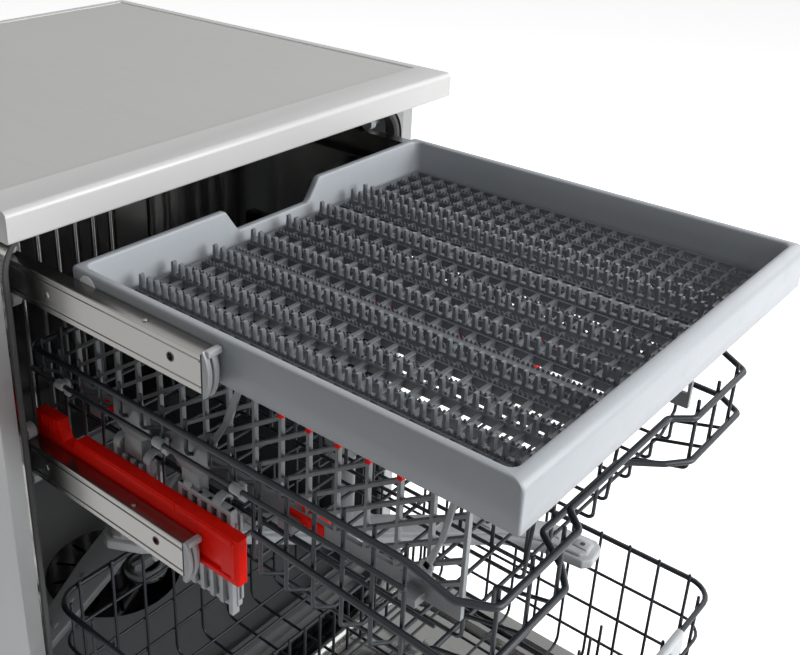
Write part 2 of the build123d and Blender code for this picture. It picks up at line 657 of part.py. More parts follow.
# Guide rollers on the tub's walls, above and below each rail
guide_radius = 8.0
guide_width = 9.0
bracket_x, bracket_thickness = 269.0, 3.0
bracket_reach = 14.0        # past the rail, above and below
guide_places = [BODY_FRONT + 30.0, BODY_FRONT + 190.0]
with BuildPart() as guide_rollers:
    for side in (-1, 1):
        for rail_z in (UPPER_RAIL_Z, LOWER_RAIL_Z):
            middle = rail_z + RAIL_HEIGHT / 2
            rise = RAIL_HEIGHT / 2 + guide_radius + CLEARANCE
            axles = [(y, z) for y in guide_places for z in (middle - rise, middle + rise)]
            with BuildSketch(Plane.YZ.offset(side * (RAIL_X - guide_width))):
                with Locations(*axles):
                    Circle(guide_radius)
            extrude(amount=side * guide_width)
            with BuildSketch(Plane.YZ.offset(side * RAIL_X)):
                with Locations(*axles):
                    Circle(4.0)
            extrude(amount=side * (bracket_x - RAIL_X))
            with BuildSketch(Plane.YZ.offset(side * bracket_x)):
                with Locations(*[(y, middle) for y in guide_places]):
                    Rectangle(22.0, RAIL_HEIGHT + 2 * bracket_reach)
            extrude(amount=side * bracket_thickness)
            with BuildSketch(Plane.YZ.offset(side * (bracket_x + bracket_thickness))):
                with Locations(*[(y, middle - 4.0) for y in guide_places]):
                    Rectangle(22.0, RAIL_HEIGHT - 8.0)
            extrude(amount=side * (TUB_HALF - bracket_x - bracket_thickness))
guide_rollers.part.label = "guide_rollers"
export_step(guide_rollers.part, "parts/guide_rollers.step")

# Rails: channels that open inwards, and the plastic caps on their front ends
rail_hole = 3.5
cap_rise = 6.0


def rail_pair(front, low):
    """The left and right channel of one level, with a locating hole near the front."""
    with BuildPart() as pair:
        for side in (-1, 1):
            with BuildSketch(Plane.XZ.offset(-front)):
                mid_z = low + RAIL_HEIGHT / 2
                with Locations((side * (RAIL_X - RAIL_WIDTH / 2), mid_z)):
                    Rectangle(RAIL_WIDTH, RAIL_HEIGHT)
                with Locations((side * (RAIL_X - RAIL_WIDTH / 2 - RAIL_SHEET), mid_z)):
                    Rectangle(RAIL_WIDTH, RAIL_HEIGHT - 2 * RAIL_SHEET, mode=Mode.SUBTRACT)
            extrude(amount=-RAIL_LENGTH)
        corners = pair.edges().filter_by(Axis.Y).group_by(SortBy.DISTANCE)[-1]
        fillet(corners, RAIL_SHEET)
        with BuildSketch(Plane.YZ):
            with Locations((front + 34.0, low + RAIL_HEIGHT * 0.55), (front + 380.0, low + RAIL_HEIGHT / 2)):
                Circle(rail_hole)
        extrude(amount=WIDTH / 2, both=True, mode=Mode.SUBTRACT)
    return pair.part


def cap_pair(front, low):
    """The left and right end cap of one level: a bulging plastic plug with two grooves."""
    with BuildPart() as pair:
        for side in (-1, 1):
            with BuildSketch(Plane.YZ.offset(side * (RAIL_X + 1.0))):
                with BuildLine():
                    bottom = (front, low - cap_rise)
                    top = (front, low + RAIL_HEIGHT + cap_rise)
                    ThreePointArc(bottom, (front - CAP_LENGTH, low + RAIL_HEIGHT / 2), top)
                    Line(top, bottom)
                make_face()
            extrude(amount=-side * (RAIL_WIDTH + 2.0))
            with BuildSketch(Plane.YZ.offset(side * (RAIL_X + 1.0))):
                with BuildLine():
                    outer = ThreePointArc((front - 1.0, low - cap_rise + 4.0),
                                          (front - CAP_LENGTH + 3.5, low + RAIL_HEIGHT / 2),
                                          (front - 1.0, low + RAIL_HEIGHT + cap_rise - 4.0))
                    inner = ThreePointArc((front - 1.0, low - cap_rise + 7.0),
                                          (front - CAP_LENGTH + 5.5, low + RAIL_HEIGHT / 2),
                                          (front - 1.0, low + RAIL_HEIGHT + cap_rise - 7.0))
                    Line(outer @ 0, inner @ 0)
                    Line(outer @ 1, inner @ 1)
                make_face()
            extrude(amount=-side * 2.5, mode=Mode.SUBTRACT)
            with BuildSketch(Plane.XZ.offset(-front)):
                with Locations((side * (RAIL_X - RAIL_WIDTH / 2 - RAIL_SHEET / 2), low + RAIL_HEIGHT / 2)):
                    Rectangle(RAIL_WIDTH - RAIL_SHEET - 1.0, RAIL_HEIGHT - 2 * RAIL_SHEET - 0.4)
            extrude(amount=-8.0)
    return pair.part


upper_rails = rail_pair(UPPER_RAIL_FRONT, UPPER_RAIL_Z)
with BuildPart() as tray_rails:
    add(upper_rails)
tray_rails.part.label = "tray_rails"
export_step(tray_rails.part, "parts/tray_rails.step")

lower_rails = rail_pair(LOWER_RAIL_FRONT, LOWER_RAIL_Z)
with BuildPart() as rack_rails:
    add(lower_rails)
rack_rails.part.label = "rack_rails"
export_step(rack_rails.part, "parts/rack_rails.step")

upper_caps = cap_pair(UPPER_RAIL_FRONT, UPPER_RAIL_Z)
with BuildPart() as tray_rail_caps:
    add(upper_caps)
tray_rail_caps.part.label = "tray_rail_caps"
export_step(tray_rail_caps.part, "parts/tray_rail_caps.step")

lower_caps = cap_pair(LOWER_RAIL_FRONT, LOWER_RAIL_Z)
with BuildPart() as rack_rail_caps:
    add(lower_caps)
rack_rail_caps.part.label = "rack_rail_caps"
export_step(rack_rail_caps.part, "parts/rack_rail_caps.step")

# Rollers of the tray and of the middle rack run inside their rails, with a sliding pad each
ROLLER_RADIUS = RAIL_HEIGHT / 2 - RAIL_SHEET - CLEARANCE
ROLLER_WIDTH = 9.0
roller_x = RAIL_X - RAIL_SHEET - 1.0 - ROLLER_WIDTH
axle_radius = 4.0
TRAY_ROLLER_Y, TRAY_PAD_Y = TRAY_REAR - 14.0, TRAY_REAR - 150.0
RACK_ROLLER_Y, RACK_PAD_Y = -240.0, -416.0
PAD_LENGTH = 24.0


def rail_guides(inner, roller_y, pad_y, low):
    """Both sides' roller axle with its collar, and the sliding pad, from a face at inner."""
    middle = low + RAIL_HEIGHT / 2
    with BuildPart() as guides:
        for side in (-1, 1):
            with BuildSketch(Plane.YZ.offset(side * inner)):
                with Locations((roller_y, middle)):
                    Circle(axle_radius)
            extrude(amount=side * (roller_x + ROLLER_WIDTH - inner))
            with BuildSketch(Plane.YZ.offset(side * inner)):
                with Locations((roller_y, middle)):
                    Circle(axle_radius + 4.0)
                with Locations((pad_y, middle)):
                    SlotOverall(PAD_LENGTH, 8.0)
            extrude(amount=side * (roller_x - CLEARANCE - inner))
            with BuildSketch(Plane.YZ.offset(side * (roller_x - CLEARANCE))):
                with Locations((pad_y, middle)):
                    RectangleRounded(PAD_LENGTH, 2 * ROLLER_RADIUS, 4.0)
            extrude(amount=side * ROLLER_WIDTH)
    return guides.part


def roller_pair(y, low):
    """A left and a right roller on the line y, inside the rails of one level, with their hubs."""
    with BuildPart() as pair:
        for side in (-1, 1):
            with BuildSketch(Plane.YZ.offset(side * roller_x)):
                with Locations((y, low + RAIL_HEIGHT / 2)):
                    Circle(ROLLER_RADIUS)
                    Circle(axle_radius + HINGE_CLEARANCE, mode=Mode.SUBTRACT)
            extrude(amount=side * ROLLER_WIDTH)
    return pair.part


tray_roller_blank = roller_pair(TRAY_ROLLER_Y, UPPER_RAIL_Z)
with BuildPart() as tray_rollers:
    add(tray_roller_blank)
tray_rollers.part.label = "tray_rollers"
export_step(tray_rollers.part, "parts/tray_rollers.step")

rack_roller_blank = roller_pair(RACK_ROLLER_Y, LOWER_RAIL_Z)
with BuildPart() as rack_rollers:
    add(rack_roller_blank)
rack_rollers.part.label = "rack_rollers"
export_step(rack_rollers.part, "parts/rack_rollers.step")


# Cutlery tray: a moulded frame with a dipped rear wall, a grid floor and rows of fins
tray_y, tray_length = span(TRAY_FRONT, TRAY_REAR)
tray_floor_z = TRAY_TOP - TRAY_HEIGHT
front_lean = 10.0
dip_low, dip_high = 49.0, 66.0
dip_depth = 24.0
GRID_THICKNESS = 4.0
GRID_BAR = 3.0
inner_y, inner_length = span(TRAY_FRONT + TRAY_END_WALL, TRAY_REAR - TRAY_END_WALL)
tray_guides = rail_guides(TRAY_HALF, TRAY_ROLLER_Y, TRAY_PAD_Y, UPPER_RAIL_Z)
with BuildPart() as cutlery_tray:
    with BuildSketch(Plane.XY.offset(tray_floor_z)):
        with Locations((0, tray_y)):
            RectangleRounded(2 * TRAY_HALF, tray_length, TRAY_CORNER)
    extrude(amount=TRAY_HEIGHT)
    fillet(cutlery_tray.faces().sort_by(Axis.Z)[-1].edges(), 2.0)
    with BuildSketch(Plane.XY.offset(TRAY_TOP)):
        with Locations((0, inner_y)):
            RectangleRounded(2 * (TRAY_HALF - TRAY_SIDE_WALL), inner_length, 10.0)
    extrude(amount=-TRAY_HEIGHT, taper=4, mode=Mode.SUBTRACT)
    with BuildSketch(Plane.YZ):
        with BuildLine():
            lean_top = TRAY_TOP + 1.0
            Polyline((TRAY_FRONT - 1.0, lean_top), (TRAY_FRONT - 1.0, tray_floor_z - 1.0),
                     (TRAY_FRONT + front_lean, tray_floor_z - 1.0), (TRAY_FRONT, TRAY_TOP - 4.0),
                     (TRAY_FRONT, lean_top), close=True)
        make_face()
    extrude(amount=TRAY_HALF, both=True, mode=Mode.SUBTRACT)
    with BuildSketch(Plane.XZ.offset(-TRAY_REAR)):
        with BuildLine():
            Polyline((-dip_high, TRAY_TOP + 1.0), (-dip_low, TRAY_TOP - dip_depth),
                     (dip_low, TRAY_TOP - dip_depth), (dip_high, TRAY_TOP + 1.0), close=True)
        make_face()
    extrude(amount=2 * TRAY_END_WALL, both=True, mode=Mode.SUBTRACT)
    add(tray_guides)
cutlery_tray.part.label = "cutlery_tray"
export_step(cutlery_tray.part, "parts/cutlery_tray.step")

grid_half = TRAY_HALF - TRAY_SIDE_WALL - 3.6
grid_front, grid_rear = TRAY_FRONT + TRAY_END_WALL + 3.6, TRAY_REAR - TRAY_END_WALL - 3.6
grid_y, grid_length = span(grid_front, grid_rear)
GRID_PITCH_X, GRID_PITCH_Y = 33.0, 27.0
FIN_HEIGHT, FIN_PITCH, FIN_WIDTH, FIN_THICKNESS, FIN_BASE = 17.0, 13.5, 5.0, 2.6, 4.0
fin_rows = spread(-grid_half + 24.0, grid_half - 24.0, 58.0)
fin_places = spread(grid_front + 12.0, grid_rear - 12.0, FIN_PITCH)
with BuildPart() as tray_grid:
    with BuildSketch(Plane.XY.offset(tray_floor_z)):
        with Locations((0, grid_y)):
            RectangleRounded(2 * grid_half, grid_length, 5.0)
            RectangleRounded(2 * grid_half - 8.0, grid_length - 8.0, 2.0, mode=Mode.SUBTRACT)
        with Locations(*[(x, grid_y) for x in spread(-grid_half, grid_half, GRID_PITCH_X)[1:-1]]):
            Rectangle(GRID_BAR, grid_length - 2.0)
        with Locations(*[(0, y) for y in spread(grid_front, grid_rear, GRID_PITCH_Y)[1:-1]]):
            Rectangle(2 * grid_half - 2.0, GRID_BAR)
    extrude(amount=GRID_THICKNESS)
    fin_z = tray_floor_z + GRID_THICKNESS - 1.0
    for row in fin_rows:
        with BuildSketch(Plane.YZ.offset(row - FIN_THICKNESS / 2)):
            with Locations((grid_y, fin_z + FIN_BASE / 2)):
                Rectangle(grid_length - 12.0, FIN_BASE)
            with Locations(*[(y, fin_z + FIN_BASE + FIN_HEIGHT / 2 - 0.5) for y in fin_places]):
                Trapezoid(FIN_WIDTH, FIN_HEIGHT, 86)
        extrude(amount=FIN_THICKNESS)
tray_grid.part.label = "tray_grid"
export_step(tray_grid.part, "parts/tray_grid.step")

# Middle rack's carriage: two red side bars that run on the lower rails
BAR_X = 239.0               # outer face
BAR_THICKNESS = 12.0
BAR_FRONT, BAR_REAR = -490.0, -215.0
BAR_Z, BAR_HEIGHT = 553.0, 46.0
HUMP_LENGTH, HUMP_RISE, NOTCH_LENGTH, NOTCH_DEPTH = 34.0, 8.0, 22.0, 12.0
bar_top = BAR_Z + BAR_HEIGHT
bar_guides = rail_guides(BAR_X, RACK_ROLLER_Y, RACK_PAD_Y, LOWER_RAIL_Z)
with BuildPart() as carriage_bars:
    for side in (-1, 1):
        with BuildSketch(Plane.YZ.offset(side * BAR_X)):
            with BuildLine():
                notch_rear = BAR_REAR - HUMP_LENGTH
                notch_front = notch_rear - NOTCH_LENGTH
                Polyline((BAR_FRONT, BAR_Z), (BAR_FRONT, bar_top), (notch_front - 6.0, bar_top),
                         (notch_front, bar_top - NOTCH_DEPTH), (notch_rear - 6.0, bar_top - NOTCH_DEPTH),
                         (notch_rear, bar_top + HUMP_RISE), (BAR_REAR, bar_top + HUMP_RISE),
                         (BAR_REAR, BAR_Z), close=True)
            make_face()
        extrude(amount=-side * BAR_THICKNESS)
    fillet(carriage_bars.edges().filter_by(Axis.Z).group_by(Axis.Y)[0], 3.0)
    for side in (-1, 1):
        with BuildSketch(Plane.YZ.offset(side * BAR_X)):
            with Locations((BAR_FRONT + 62.0, BAR_Z + 9.0)):
                SlotOverall(84.0, 5.0)
        extrude(amount=-side * 1.5, mode=Mode.SUBTRACT)
    add(bar_guides)
carriage_bars.part.label = "carriage_bars"
export_step(carriage_bars.part, "parts/carriage_bars.step")

rack_inner = RACK_HALF - 24.0

# Height adjusters: ribbed plastic slides on the rack, behind the bars
ADJUSTER_SPANS = [(-368.0, -316.0), (-470.0, -404.0)]
ADJUSTER_Z, ADJUSTER_TOP = 500.0, 612.0
adjuster_rib_pitch = 13.0
adjuster_x = BAR_X - BAR_THICKNESS - CLEARANCE
adjuster_thickness = adjuster_x - rack_inner
z_mid, tall = span(ADJUSTER_Z, ADJUSTER_TOP)
with BuildPart() as height_adjusters:
    for side in (-1, 1):
        for low, high in ADJUSTER_SPANS:
            with BuildSketch(Plane.YZ.offset(side * (adjuster_x - 4.0))):
                with Locations(((low + high) / 2, z_mid)):
                    Rectangle(high - low, tall)
            extrude(amount=-side * (adjuster_thickness - 4.0))
            ribs = spread(low + 1.5, high - 1.5, adjuster_rib_pitch)
            with BuildSketch(Plane.YZ.offset(side * adjuster_x)):
                with Locations(*[(y, z_mid) for y in ribs]):
                    Rectangle(3.0, tall - 6.0)
            extrude(amount=-side * 5.0)
height_adjusters.part.label = "height_adjusters"
export_step(height_adjusters.part, "parts/height_adjusters.step")

# Middle rack: a thick rim with two front lobes, flat wire panels and a wire floor
LOBE_INNER, LOBE_OUTER, LOBE_DEPTH = 98.0, 214.0, 22.0
SHOULDER_Z = 650.0          # a second long wire runs below the rim
LOWER_HOOP_Z = 616.0        # a thick wire follows the rim round the front lobes, down to the bars
HOOP_END = -504.0
SIDE_PITCH = 28.0
rim_corner = RACK_FRONT + LOBE_DEPTH


def wire_run(points, bend, radius, close=True):
    """A thick wire through the points, with bends of one radius; eight-sided to keep its faces few."""
    with BuildPart() as loop:
        with BuildLine() as path:
            FilletPolyline(*points, radius=bend, close=close)
        wire = path.wire()
        with BuildSketch(Plane(origin=wire @ 0, z_dir=wire % 0)):
            RegularPolygon(radius, 8)
        sweep()
    return loop.part


rim_half = [(RACK_HALF, RACK_REAR, RACK_RIM_Z), (RACK_HALF, rim_corner, RACK_RIM_Z),
            (LOBE_OUTER, RACK_FRONT, RACK_RIM_Z), (LOBE_INNER, RACK_FRONT, RACK_RIM_Z),
            (LOBE_INNER - 12.0, rim_corner, RACK_RIM_Z)]
rim_blank = wire_run(rim_half + [(-x, y, z) for x, y, z in reversed(rim_half)], 9.0, RIM_RADIUS)
lower_half = [(x, y, LOWER_HOOP_Z) for x, y, _ in rim_half]
lower_half[0] = (RACK_HALF, HOOP_END, LOWER_HOOP_Z)
hoop_blank = wire_run(lower_half + [(-x, y, z) for x, y, z in reversed(lower_half)], 9.0, RIM_RADIUS, close=False)
with BuildPart() as rack_rim:
    add(rim_blank)
    add(hoop_blank)
rack_rim.part.label = "rack_rim"
export_step(rack_rim.part, "parts/rack_rim.step")

panel_outer = RACK_HALF - RIM_RADIUS - 0.2
nub = 9.0
tie_width = 2.8
side_y, side_length = span(rim_corner + 6.0, RACK_REAR - 8.0)
hang_front, hang_rear = rim_corner + 14.0, BAR_FRONT - 12.0
with BuildPart() as rack_walls:
    with BuildSketch(Plane.YZ.offset(panel_outer)):
        low, high = span(SHOULDER_Z, RACK_RIM_Z + nub)
        with Locations(*[(y, low) for y in spread(rim_corner + 8.0, RACK_REAR - 10.0, SIDE_PITCH)]):
            Rectangle(WIRE, high)
        with Locations((side_y, SHOULDER_Z)):
            Rectangle(side_length, WIRE)
        low, high = span(BAR_Z + 20.0, SHOULDER_Z)
        with Locations(*[(y, low) for y in spread(hang_front, hang_rear, SIDE_PITCH)]):
            Rectangle(WIRE, high)
        hang_y, hang = span(hang_front, hang_rear)
        with Locations((hang_y, BAR_Z + 20.0), (hang_y, bar_top + 18.0)):
            Rectangle(hang, WIRE)
    extrude(amount=-WIRE)
    with BuildSketch(Plane.YZ.offset(rack_inner)):
        low, high = span(RACK_FLOOR_Z + WIRE, SHOULDER_Z + WIRE / 2)
        with Locations(*[(y, low) for y in spread(rim_corner + 8.0, RACK_REAR - 10.0, 42.0)]):
            Rectangle(WIRE, high)
        with Locations((side_y, SHOULDER_Z), (side_y, 0.5 * (SHOULDER_Z + RACK_FLOOR_Z)),
                       (side_y, RACK_FLOOR_Z + 1.5 * WIRE)):
            Rectangle(side_length, WIRE)
    extrude(amount=-WIRE)
    with BuildSketch(Plane.YZ.offset(rack_inner - WIRE / 2)):
        with Locations(*[(y, SHOULDER_Z) for y in spread(rim_corner + 50.0, RACK_REAR - 52.0, 84.0)]):
            Rectangle(tie_width, tie_width)
    extrude(amount=panel_outer - rack_inner)
    mirror(about=Plane.YZ)
    wall_half = rack_inner - WIRE - 1.0
    for y, half, low in ((rim_corner + RIM_RADIUS + 0.2 + WIRE, LOBE_INNER - 14.0, RACK_FLOOR_Z + WIRE),
                         (RACK_REAR - RIM_RADIUS - 0.2, wall_half, RACK_FLOOR_Z + WIRE)):
        with BuildSketch(Plane.XZ.offset(-y)):
            middle, high = span(low, RACK_RIM_Z + nub)
            with Locations(*[(x, middle) for x in spread(-half, half, 42.0)]):
                Rectangle(WIRE, high)
            with Locations((0, low + WIRE / 2), (0, SHOULDER_Z - 20.0)):
                Rectangle(2 * half, WIRE)
        extrude(amount=WIRE)
    for side in (-1, 1):
        lobe_x, lobe = span(LOBE_INNER + 6.0, LOBE_OUTER - 10.0)
        with BuildSketch(Plane.XZ.offset(-RACK_FRONT - RIM_RADIUS - 0.2 - WIRE)):
            middle, high = span(SHOULDER_Z - 36.0, RACK_RIM_Z + nub)
            with Locations(*[(side * x, middle) for x in spread(LOBE_INNER + 8.0, LOBE_OUTER - 12.0, 26.0)]):
                Rectangle(WIRE, high)
            with Locations((side * lobe_x, SHOULDER_Z - 36.0), (side * lobe_x, SHOULDER_Z - 10.0)):
                Rectangle(lobe, WIRE)
        extrude(amount=WIRE)
rack_walls.part.label = "rack_walls"
export_step(rack_walls.part, "parts/rack_walls.step")

floor_y, floor_length = span(rim_corner + RIM_RADIUS, RACK_REAR - RIM_RADIUS)
with BuildPart() as rack_floor:
    with BuildSketch(Plane.XY.offset(RACK_FLOOR_Z)):
        with Locations(*[(0, y) for y in spread(floor_y - floor_length / 2 + 2.0,
                                                floor_y + floor_length / 2 - 2.0, 41.0)]):
            Rectangle(2 * rack_inner, WIRE)
        with Locations(*[(x, floor_y) for x in spread(-rack_inner + 2.0, rack_inner - 2.0, 52.0)]):
            Rectangle(WIRE, floor_length)
    extrude(amount=WIRE)
rack_floor.part.label = "rack_floor"
export_step(rack_floor.part, "parts/rack_floor.step")

# Cup shelves: lattices of uprights and bars that rise forwards. They stand along the sides and fold down inwards
SHELF_X = 196.0
SHELF_Z, SHELF_TOP = 606.0, 712.0
SHELF_THICKNESS = 8.0
SHELF_FRONT, SHELF_REAR = -676.0, -226.0
UPRIGHT_PITCH = 30.0        # of the lattice along the shelf
LATTICE_RISE = 20.0         # a bar rises by this from one upright to the next
LATTICE_FOOT, LATTICE_ROWS = 620.0, 4
lattice_bar = 3.2
shelf_y, shelf_length = span(SHELF_FRONT, SHELF_REAR)
shelf_mid, shelf_tall = span(SHELF_Z, SHELF_TOP)


def lattice_cells(upright, pitch):
    """Corners of the openings between an upright and the next one to the rear, from the foot to the free tips."""
    near, far = upright + lattice_bar / 2, upright + pitch - lattice_bar / 2
    slope = LATTICE_RISE / pitch
    half = lattice_bar / 2 / cos(atan(slope))
    slant = slope * (far - near)
    foot = LATTICE_FOOT + lattice_bar / 2
    first = LATTICE_FOOT + LATTICE_RISE - slope * lattice_bar / 2
    cells = [[(near, foot), (near + (first - half - foot) / slope, foot), (near, first - half)]]
    for row in range(LATTICE_ROWS):
        low = first + row * LATTICE_RISE + half
        high = low + LATTICE_RISE - 2 * half if row < LATTICE_ROWS - 1 else SHELF_TOP + LATTICE_RISE
        cells.append([(near, low), (far, low - slant), (far, high - slant), (near, high)])
    return cells


def cup_shelf(side):
    """One cup shelf, standing: its lattice with free tips, on a foot bar that hinges on the rack's wall."""
    with BuildPart() as shelf:
        with BuildSketch(Plane.YZ.offset(side * SHELF_X)):
            with Locations((shelf_y, shelf_mid)):
                Rectangle(shelf_length, shelf_tall)
            uprights = spread(SHELF_FRONT + lattice_bar / 2, SHELF_REAR - lattice_bar / 2, UPRIGHT_PITCH)
            for upright, onward in zip(uprights, uprights[1:]):
                for cell in lattice_cells(upright, onward - upright):
                    with BuildLine():
                        Polyline(*cell, close=True)
                    make_face(mode=Mode.SUBTRACT)
        extrude(amount=-side * SHELF_THICKNESS)
        with BuildSketch(Plane.YZ.offset(side * SHELF_X)):
            with Locations(*[(y, SHELF_Z + 4.0) for y in spread(SHELF_FRONT + 40.0, SHELF_REAR - 40.0, 120.0)]):
                Rectangle(16.0, 8.0)
        extrude(amount=side * (rack_inner - WIRE - CLEARANCE - SHELF_X))
    return shelf.part


shelf_left_blank, shelf_right_blank = cup_shelf(-1), cup_shelf(1)
with BuildPart() as cup_shelf_left:
    add(shelf_left_blank)
cup_shelf_left.part.label = "cup_shelf_left"
export_step(cup_shelf_left.part, "parts/cup_shelf_left.step")

with BuildPart() as cup_shelf_right:
    add(shelf_right_blank)
cup_shelf_right.part.label = "cup_shelf_right"
export_step(cup_shelf_right.part, "parts/cup_shelf_right.step")

# Folding tines on the middle rack's floor: a row of hoops on one long wire
TINE_X, TINE_HEIGHT, TINE_PITCH = -64.0, 66.0, 34.0
tine_gap = 0.9              # room for the row to turn on its wire
tine_z = RACK_FLOOR_Z + WIRE + tine_gap
with BuildPart() as rack_tines:
    with BuildSketch(Plane.YZ.offset(TINE_X)):
        with Locations((floor_y, tine_z + WIRE / 2)):
            Rectangle(floor_length - 60.0, WIRE)
        middle, high = span(tine_z, tine_z + TINE_HEIGHT)
        with Locations(*[(y, middle) for y in spread(SHELF_FRONT + 20.0, SHELF_REAR - 20.0, TINE_PITCH)]):
            Rectangle(WIRE, high)
    extrude(amount=WIRE)
rack_tines.part.label = "rack_tines"
export_step(rack_tines.part, "parts/rack_tines.step")

# Feed pipe under the middle rack: from its rear coupling to the middle arm's stem
pipe_radius = RACK_FLOOR_Z - FEED_Z - CLEARANCE
arm_x, arm_y = MIDDLE_ARM_PLACE
arm_hub_top = MIDDLE_ARM_Z + ARM_THICKNESS + HUB_RISE + CLEARANCE
with BuildPart() as rack_feed_pipe:
    with BuildSketch(Plane.XZ.offset(-RACK_REAR + 6.0)):
        with Locations((0, FEED_Z)):
            Circle(pipe_radius)
    extrude(amount=RACK_REAR - arm_y + 14.0)
    with BuildSketch(Plane.XY.offset(arm_hub_top)):
        with Locations(MIDDLE_ARM_PLACE):
            Circle(STEM_RADIUS)
    extrude(amount=FEED_Z + pipe_radius - arm_hub_top - 2.0)
    with BuildSketch(Plane.XY.offset(FEED_Z - pipe_radius + 1.0)):
        with Locations(MIDDLE_ARM_PLACE):
            SlotOverall(4 * STEM_RADIUS, 2 * STEM_RADIUS + 4.0)
    extrude(amount=2 * pipe_radius - 2.0)
rack_feed_pipe.part.label = "rack_feed_pipe"
export_step(rack_feed_pipe.part, "parts/rack_feed_pipe.step")

# Lower rack: floor, walls with a round rim, two folding tine rows, a handle and wheels
basket_inner = BASKET_HALF - RIM_RADIUS - 0.2 - WIRE
basket_y, basket_length = span(BASKET_FRONT, BASKET_REAR)
with BuildPart() as basket_floor:
    with BuildSketch(Plane.XY.offset(BASKET_FLOOR_Z)):
        rows = spread(BASKET_FRONT + 10.0, BASKET_REAR - 10.0, 39.0)
        with Locations(*[(0, y) for y in rows]):
            Rectangle(2 * basket_inner, WIRE)
        with Locations(*[(x, basket_y) for x in spread(-basket_inner + 2.0, basket_inner - 2.0, 46.0)]):
            Rectangle(WIRE, basket_length - 16.0)
    extrude(amount=WIRE)
basket_floor.part.label = "basket_floor"
export_step(basket_floor.part, "parts/basket_floor.step")

basket_corners = [(BASKET_HALF, BASKET_REAR, BASKET_RIM_Z), (BASKET_HALF, BASKET_FRONT, BASKET_RIM_Z),
                  (-BASKET_HALF, BASKET_FRONT, BASKET_RIM_Z), (-BASKET_HALF, BASKET_REAR, BASKET_RIM_Z)]
basket_rim = wire_run(basket_corners, 28.0, RIM_RADIUS)
wheel_x = BASKET_HALF + 9.0
wheel_z = RUNNER_Z + WHEEL_RADIUS + 0.2
WHEEL_LINES = (-675.0, -236.0)
with BuildPart() as basket_walls:
    add(basket_rim)
    wall_x = BASKET_HALF - RIM_RADIUS - 0.2
    low, high = BASKET_FLOOR_Z + WIRE, BASKET_RIM_Z + nub
    middle, tall = span(low, high)
    levels = (low + WIRE / 2, low + 58.0, low + 118.0)
    for side in (-1, 1):
        with BuildSketch(Plane.YZ.offset(side * wall_x)):
            reach_y, reach = span(BASKET_FRONT + 32.0, BASKET_REAR - 32.0)
            with Locations(*[(y, middle) for y in spread(reach_y - reach / 2, reach_y + reach / 2, 43.0)]):
                Rectangle(WIRE, tall)
            with Locations(*[(reach_y, z) for z in levels]):
                Rectangle(reach, WIRE)
        extrude(amount=-side * WIRE)
    for y in (BASKET_FRONT + RIM_RADIUS + 0.2 + WIRE, BASKET_REAR - RIM_RADIUS - 0.2):
        with BuildSketch(Plane.XZ.offset(-y)):
            half = BASKET_HALF - 32.0
            with Locations(*[(x, middle) for x in spread(-half, half, 53.0)]):
                Rectangle(WIRE, tall)
            with Locations(*[(0, z) for z in levels]):
                Rectangle(2 * half, WIRE)
        extrude(amount=WIRE)
    carrier_x = wheel_x - CLEARANCE - 3.0
    for side in (-1, 1):
        with BuildSketch(Plane.YZ.offset(side * carrier_x)):
            carrier_z, carrier_tall = span(wheel_z - 8.0, BASKET_FLOOR_Z + 30.0)
            with Locations(*[(y, carrier_z) for y in WHEEL_LINES]):
                RectangleRounded(30.0, carrier_tall, 5.0)
        extrude(amount=side * 3.0)
        with BuildSketch(Plane.YZ.offset(side * (carrier_x + 3.0))):
            with Locations(*[(y, wheel_z) for y in WHEEL_LINES]):
                Circle(axle_radius)
        extrude(amount=side * (WHEEL_WIDTH + CLEARANCE))
        with BuildSketch(Plane.YZ.offset(side * (wall_x - WIRE))):
            with Locations(*[(y, BASKET_FLOOR_Z + 16.0) for y in WHEEL_LINES]):
                Rectangle(26.0, 24.0)
        extrude(amount=side * (carrier_x - wall_x + WIRE))
basket_walls.part.label = "basket_walls"
export_step(basket_walls.part, "parts/basket_walls.step")

HANDLE_HALF, HANDLE_HEIGHT = 142.0, 34.0
handle_y = BASKET_FRONT - RIM_RADIUS - CLEARANCE
with BuildPart() as basket_handle:
    with BuildSketch(Plane.XZ.offset(-handle_y)):
        with Locations((0, BASKET_RIM_Z + 8.0)):
            RectangleRounded(2 * HANDLE_HALF, HANDLE_HEIGHT, 9.0)
            RectangleRounded(2 * HANDLE_HALF - 60.0, HANDLE_HEIGHT - 20.0, 6.0, mode=Mode.SUBTRACT)
    extrude(amount=7.0)
    chamfer(basket_handle.faces().sort_by(Axis.Y)[0].edges(), 1.8)
    with BuildSketch(Plane.XY.offset(BASKET_RIM_Z + RIM_RADIUS + CLEARANCE)):
        hook_y, hook = span(handle_y - 2.0, BASKET_FRONT + RIM_RADIUS)
        with Locations((-HANDLE_HALF + 16.0, hook_y), (HANDLE_HALF - 16.0, hook_y)):
            Rectangle(20.0, hook)
    extrude(amount=3.0)
basket_handle.part.label = "basket_handle"
export_step(basket_handle.part, "parts/basket_handle.step")

PLATE_TINE_HEIGHT = 92.0
PLATE_TINE_ROWS = (-620.0, -372.0)
plate_tine_z = BASKET_FLOOR_Z + WIRE + tine_gap


def plate_tines(y):
    """A folding row of plate tines across the lower rack: uprights on one cross wire."""
    with BuildPart() as row:
        with BuildSketch(Plane.XZ.offset(-y)):
            with Locations((0, plate_tine_z + WIRE / 2)):
                Rectangle(2 * basket_inner - 40.0, WIRE)
            middle, high = span(plate_tine_z, plate_tine_z + PLATE_TINE_HEIGHT)
            with Locations(*[(x, middle) for x in spread(-basket_inner + 30.0, basket_inner - 30.0, 26.0)]):
                Rectangle(WIRE, high)
        extrude(amount=WIRE)
    return row.part


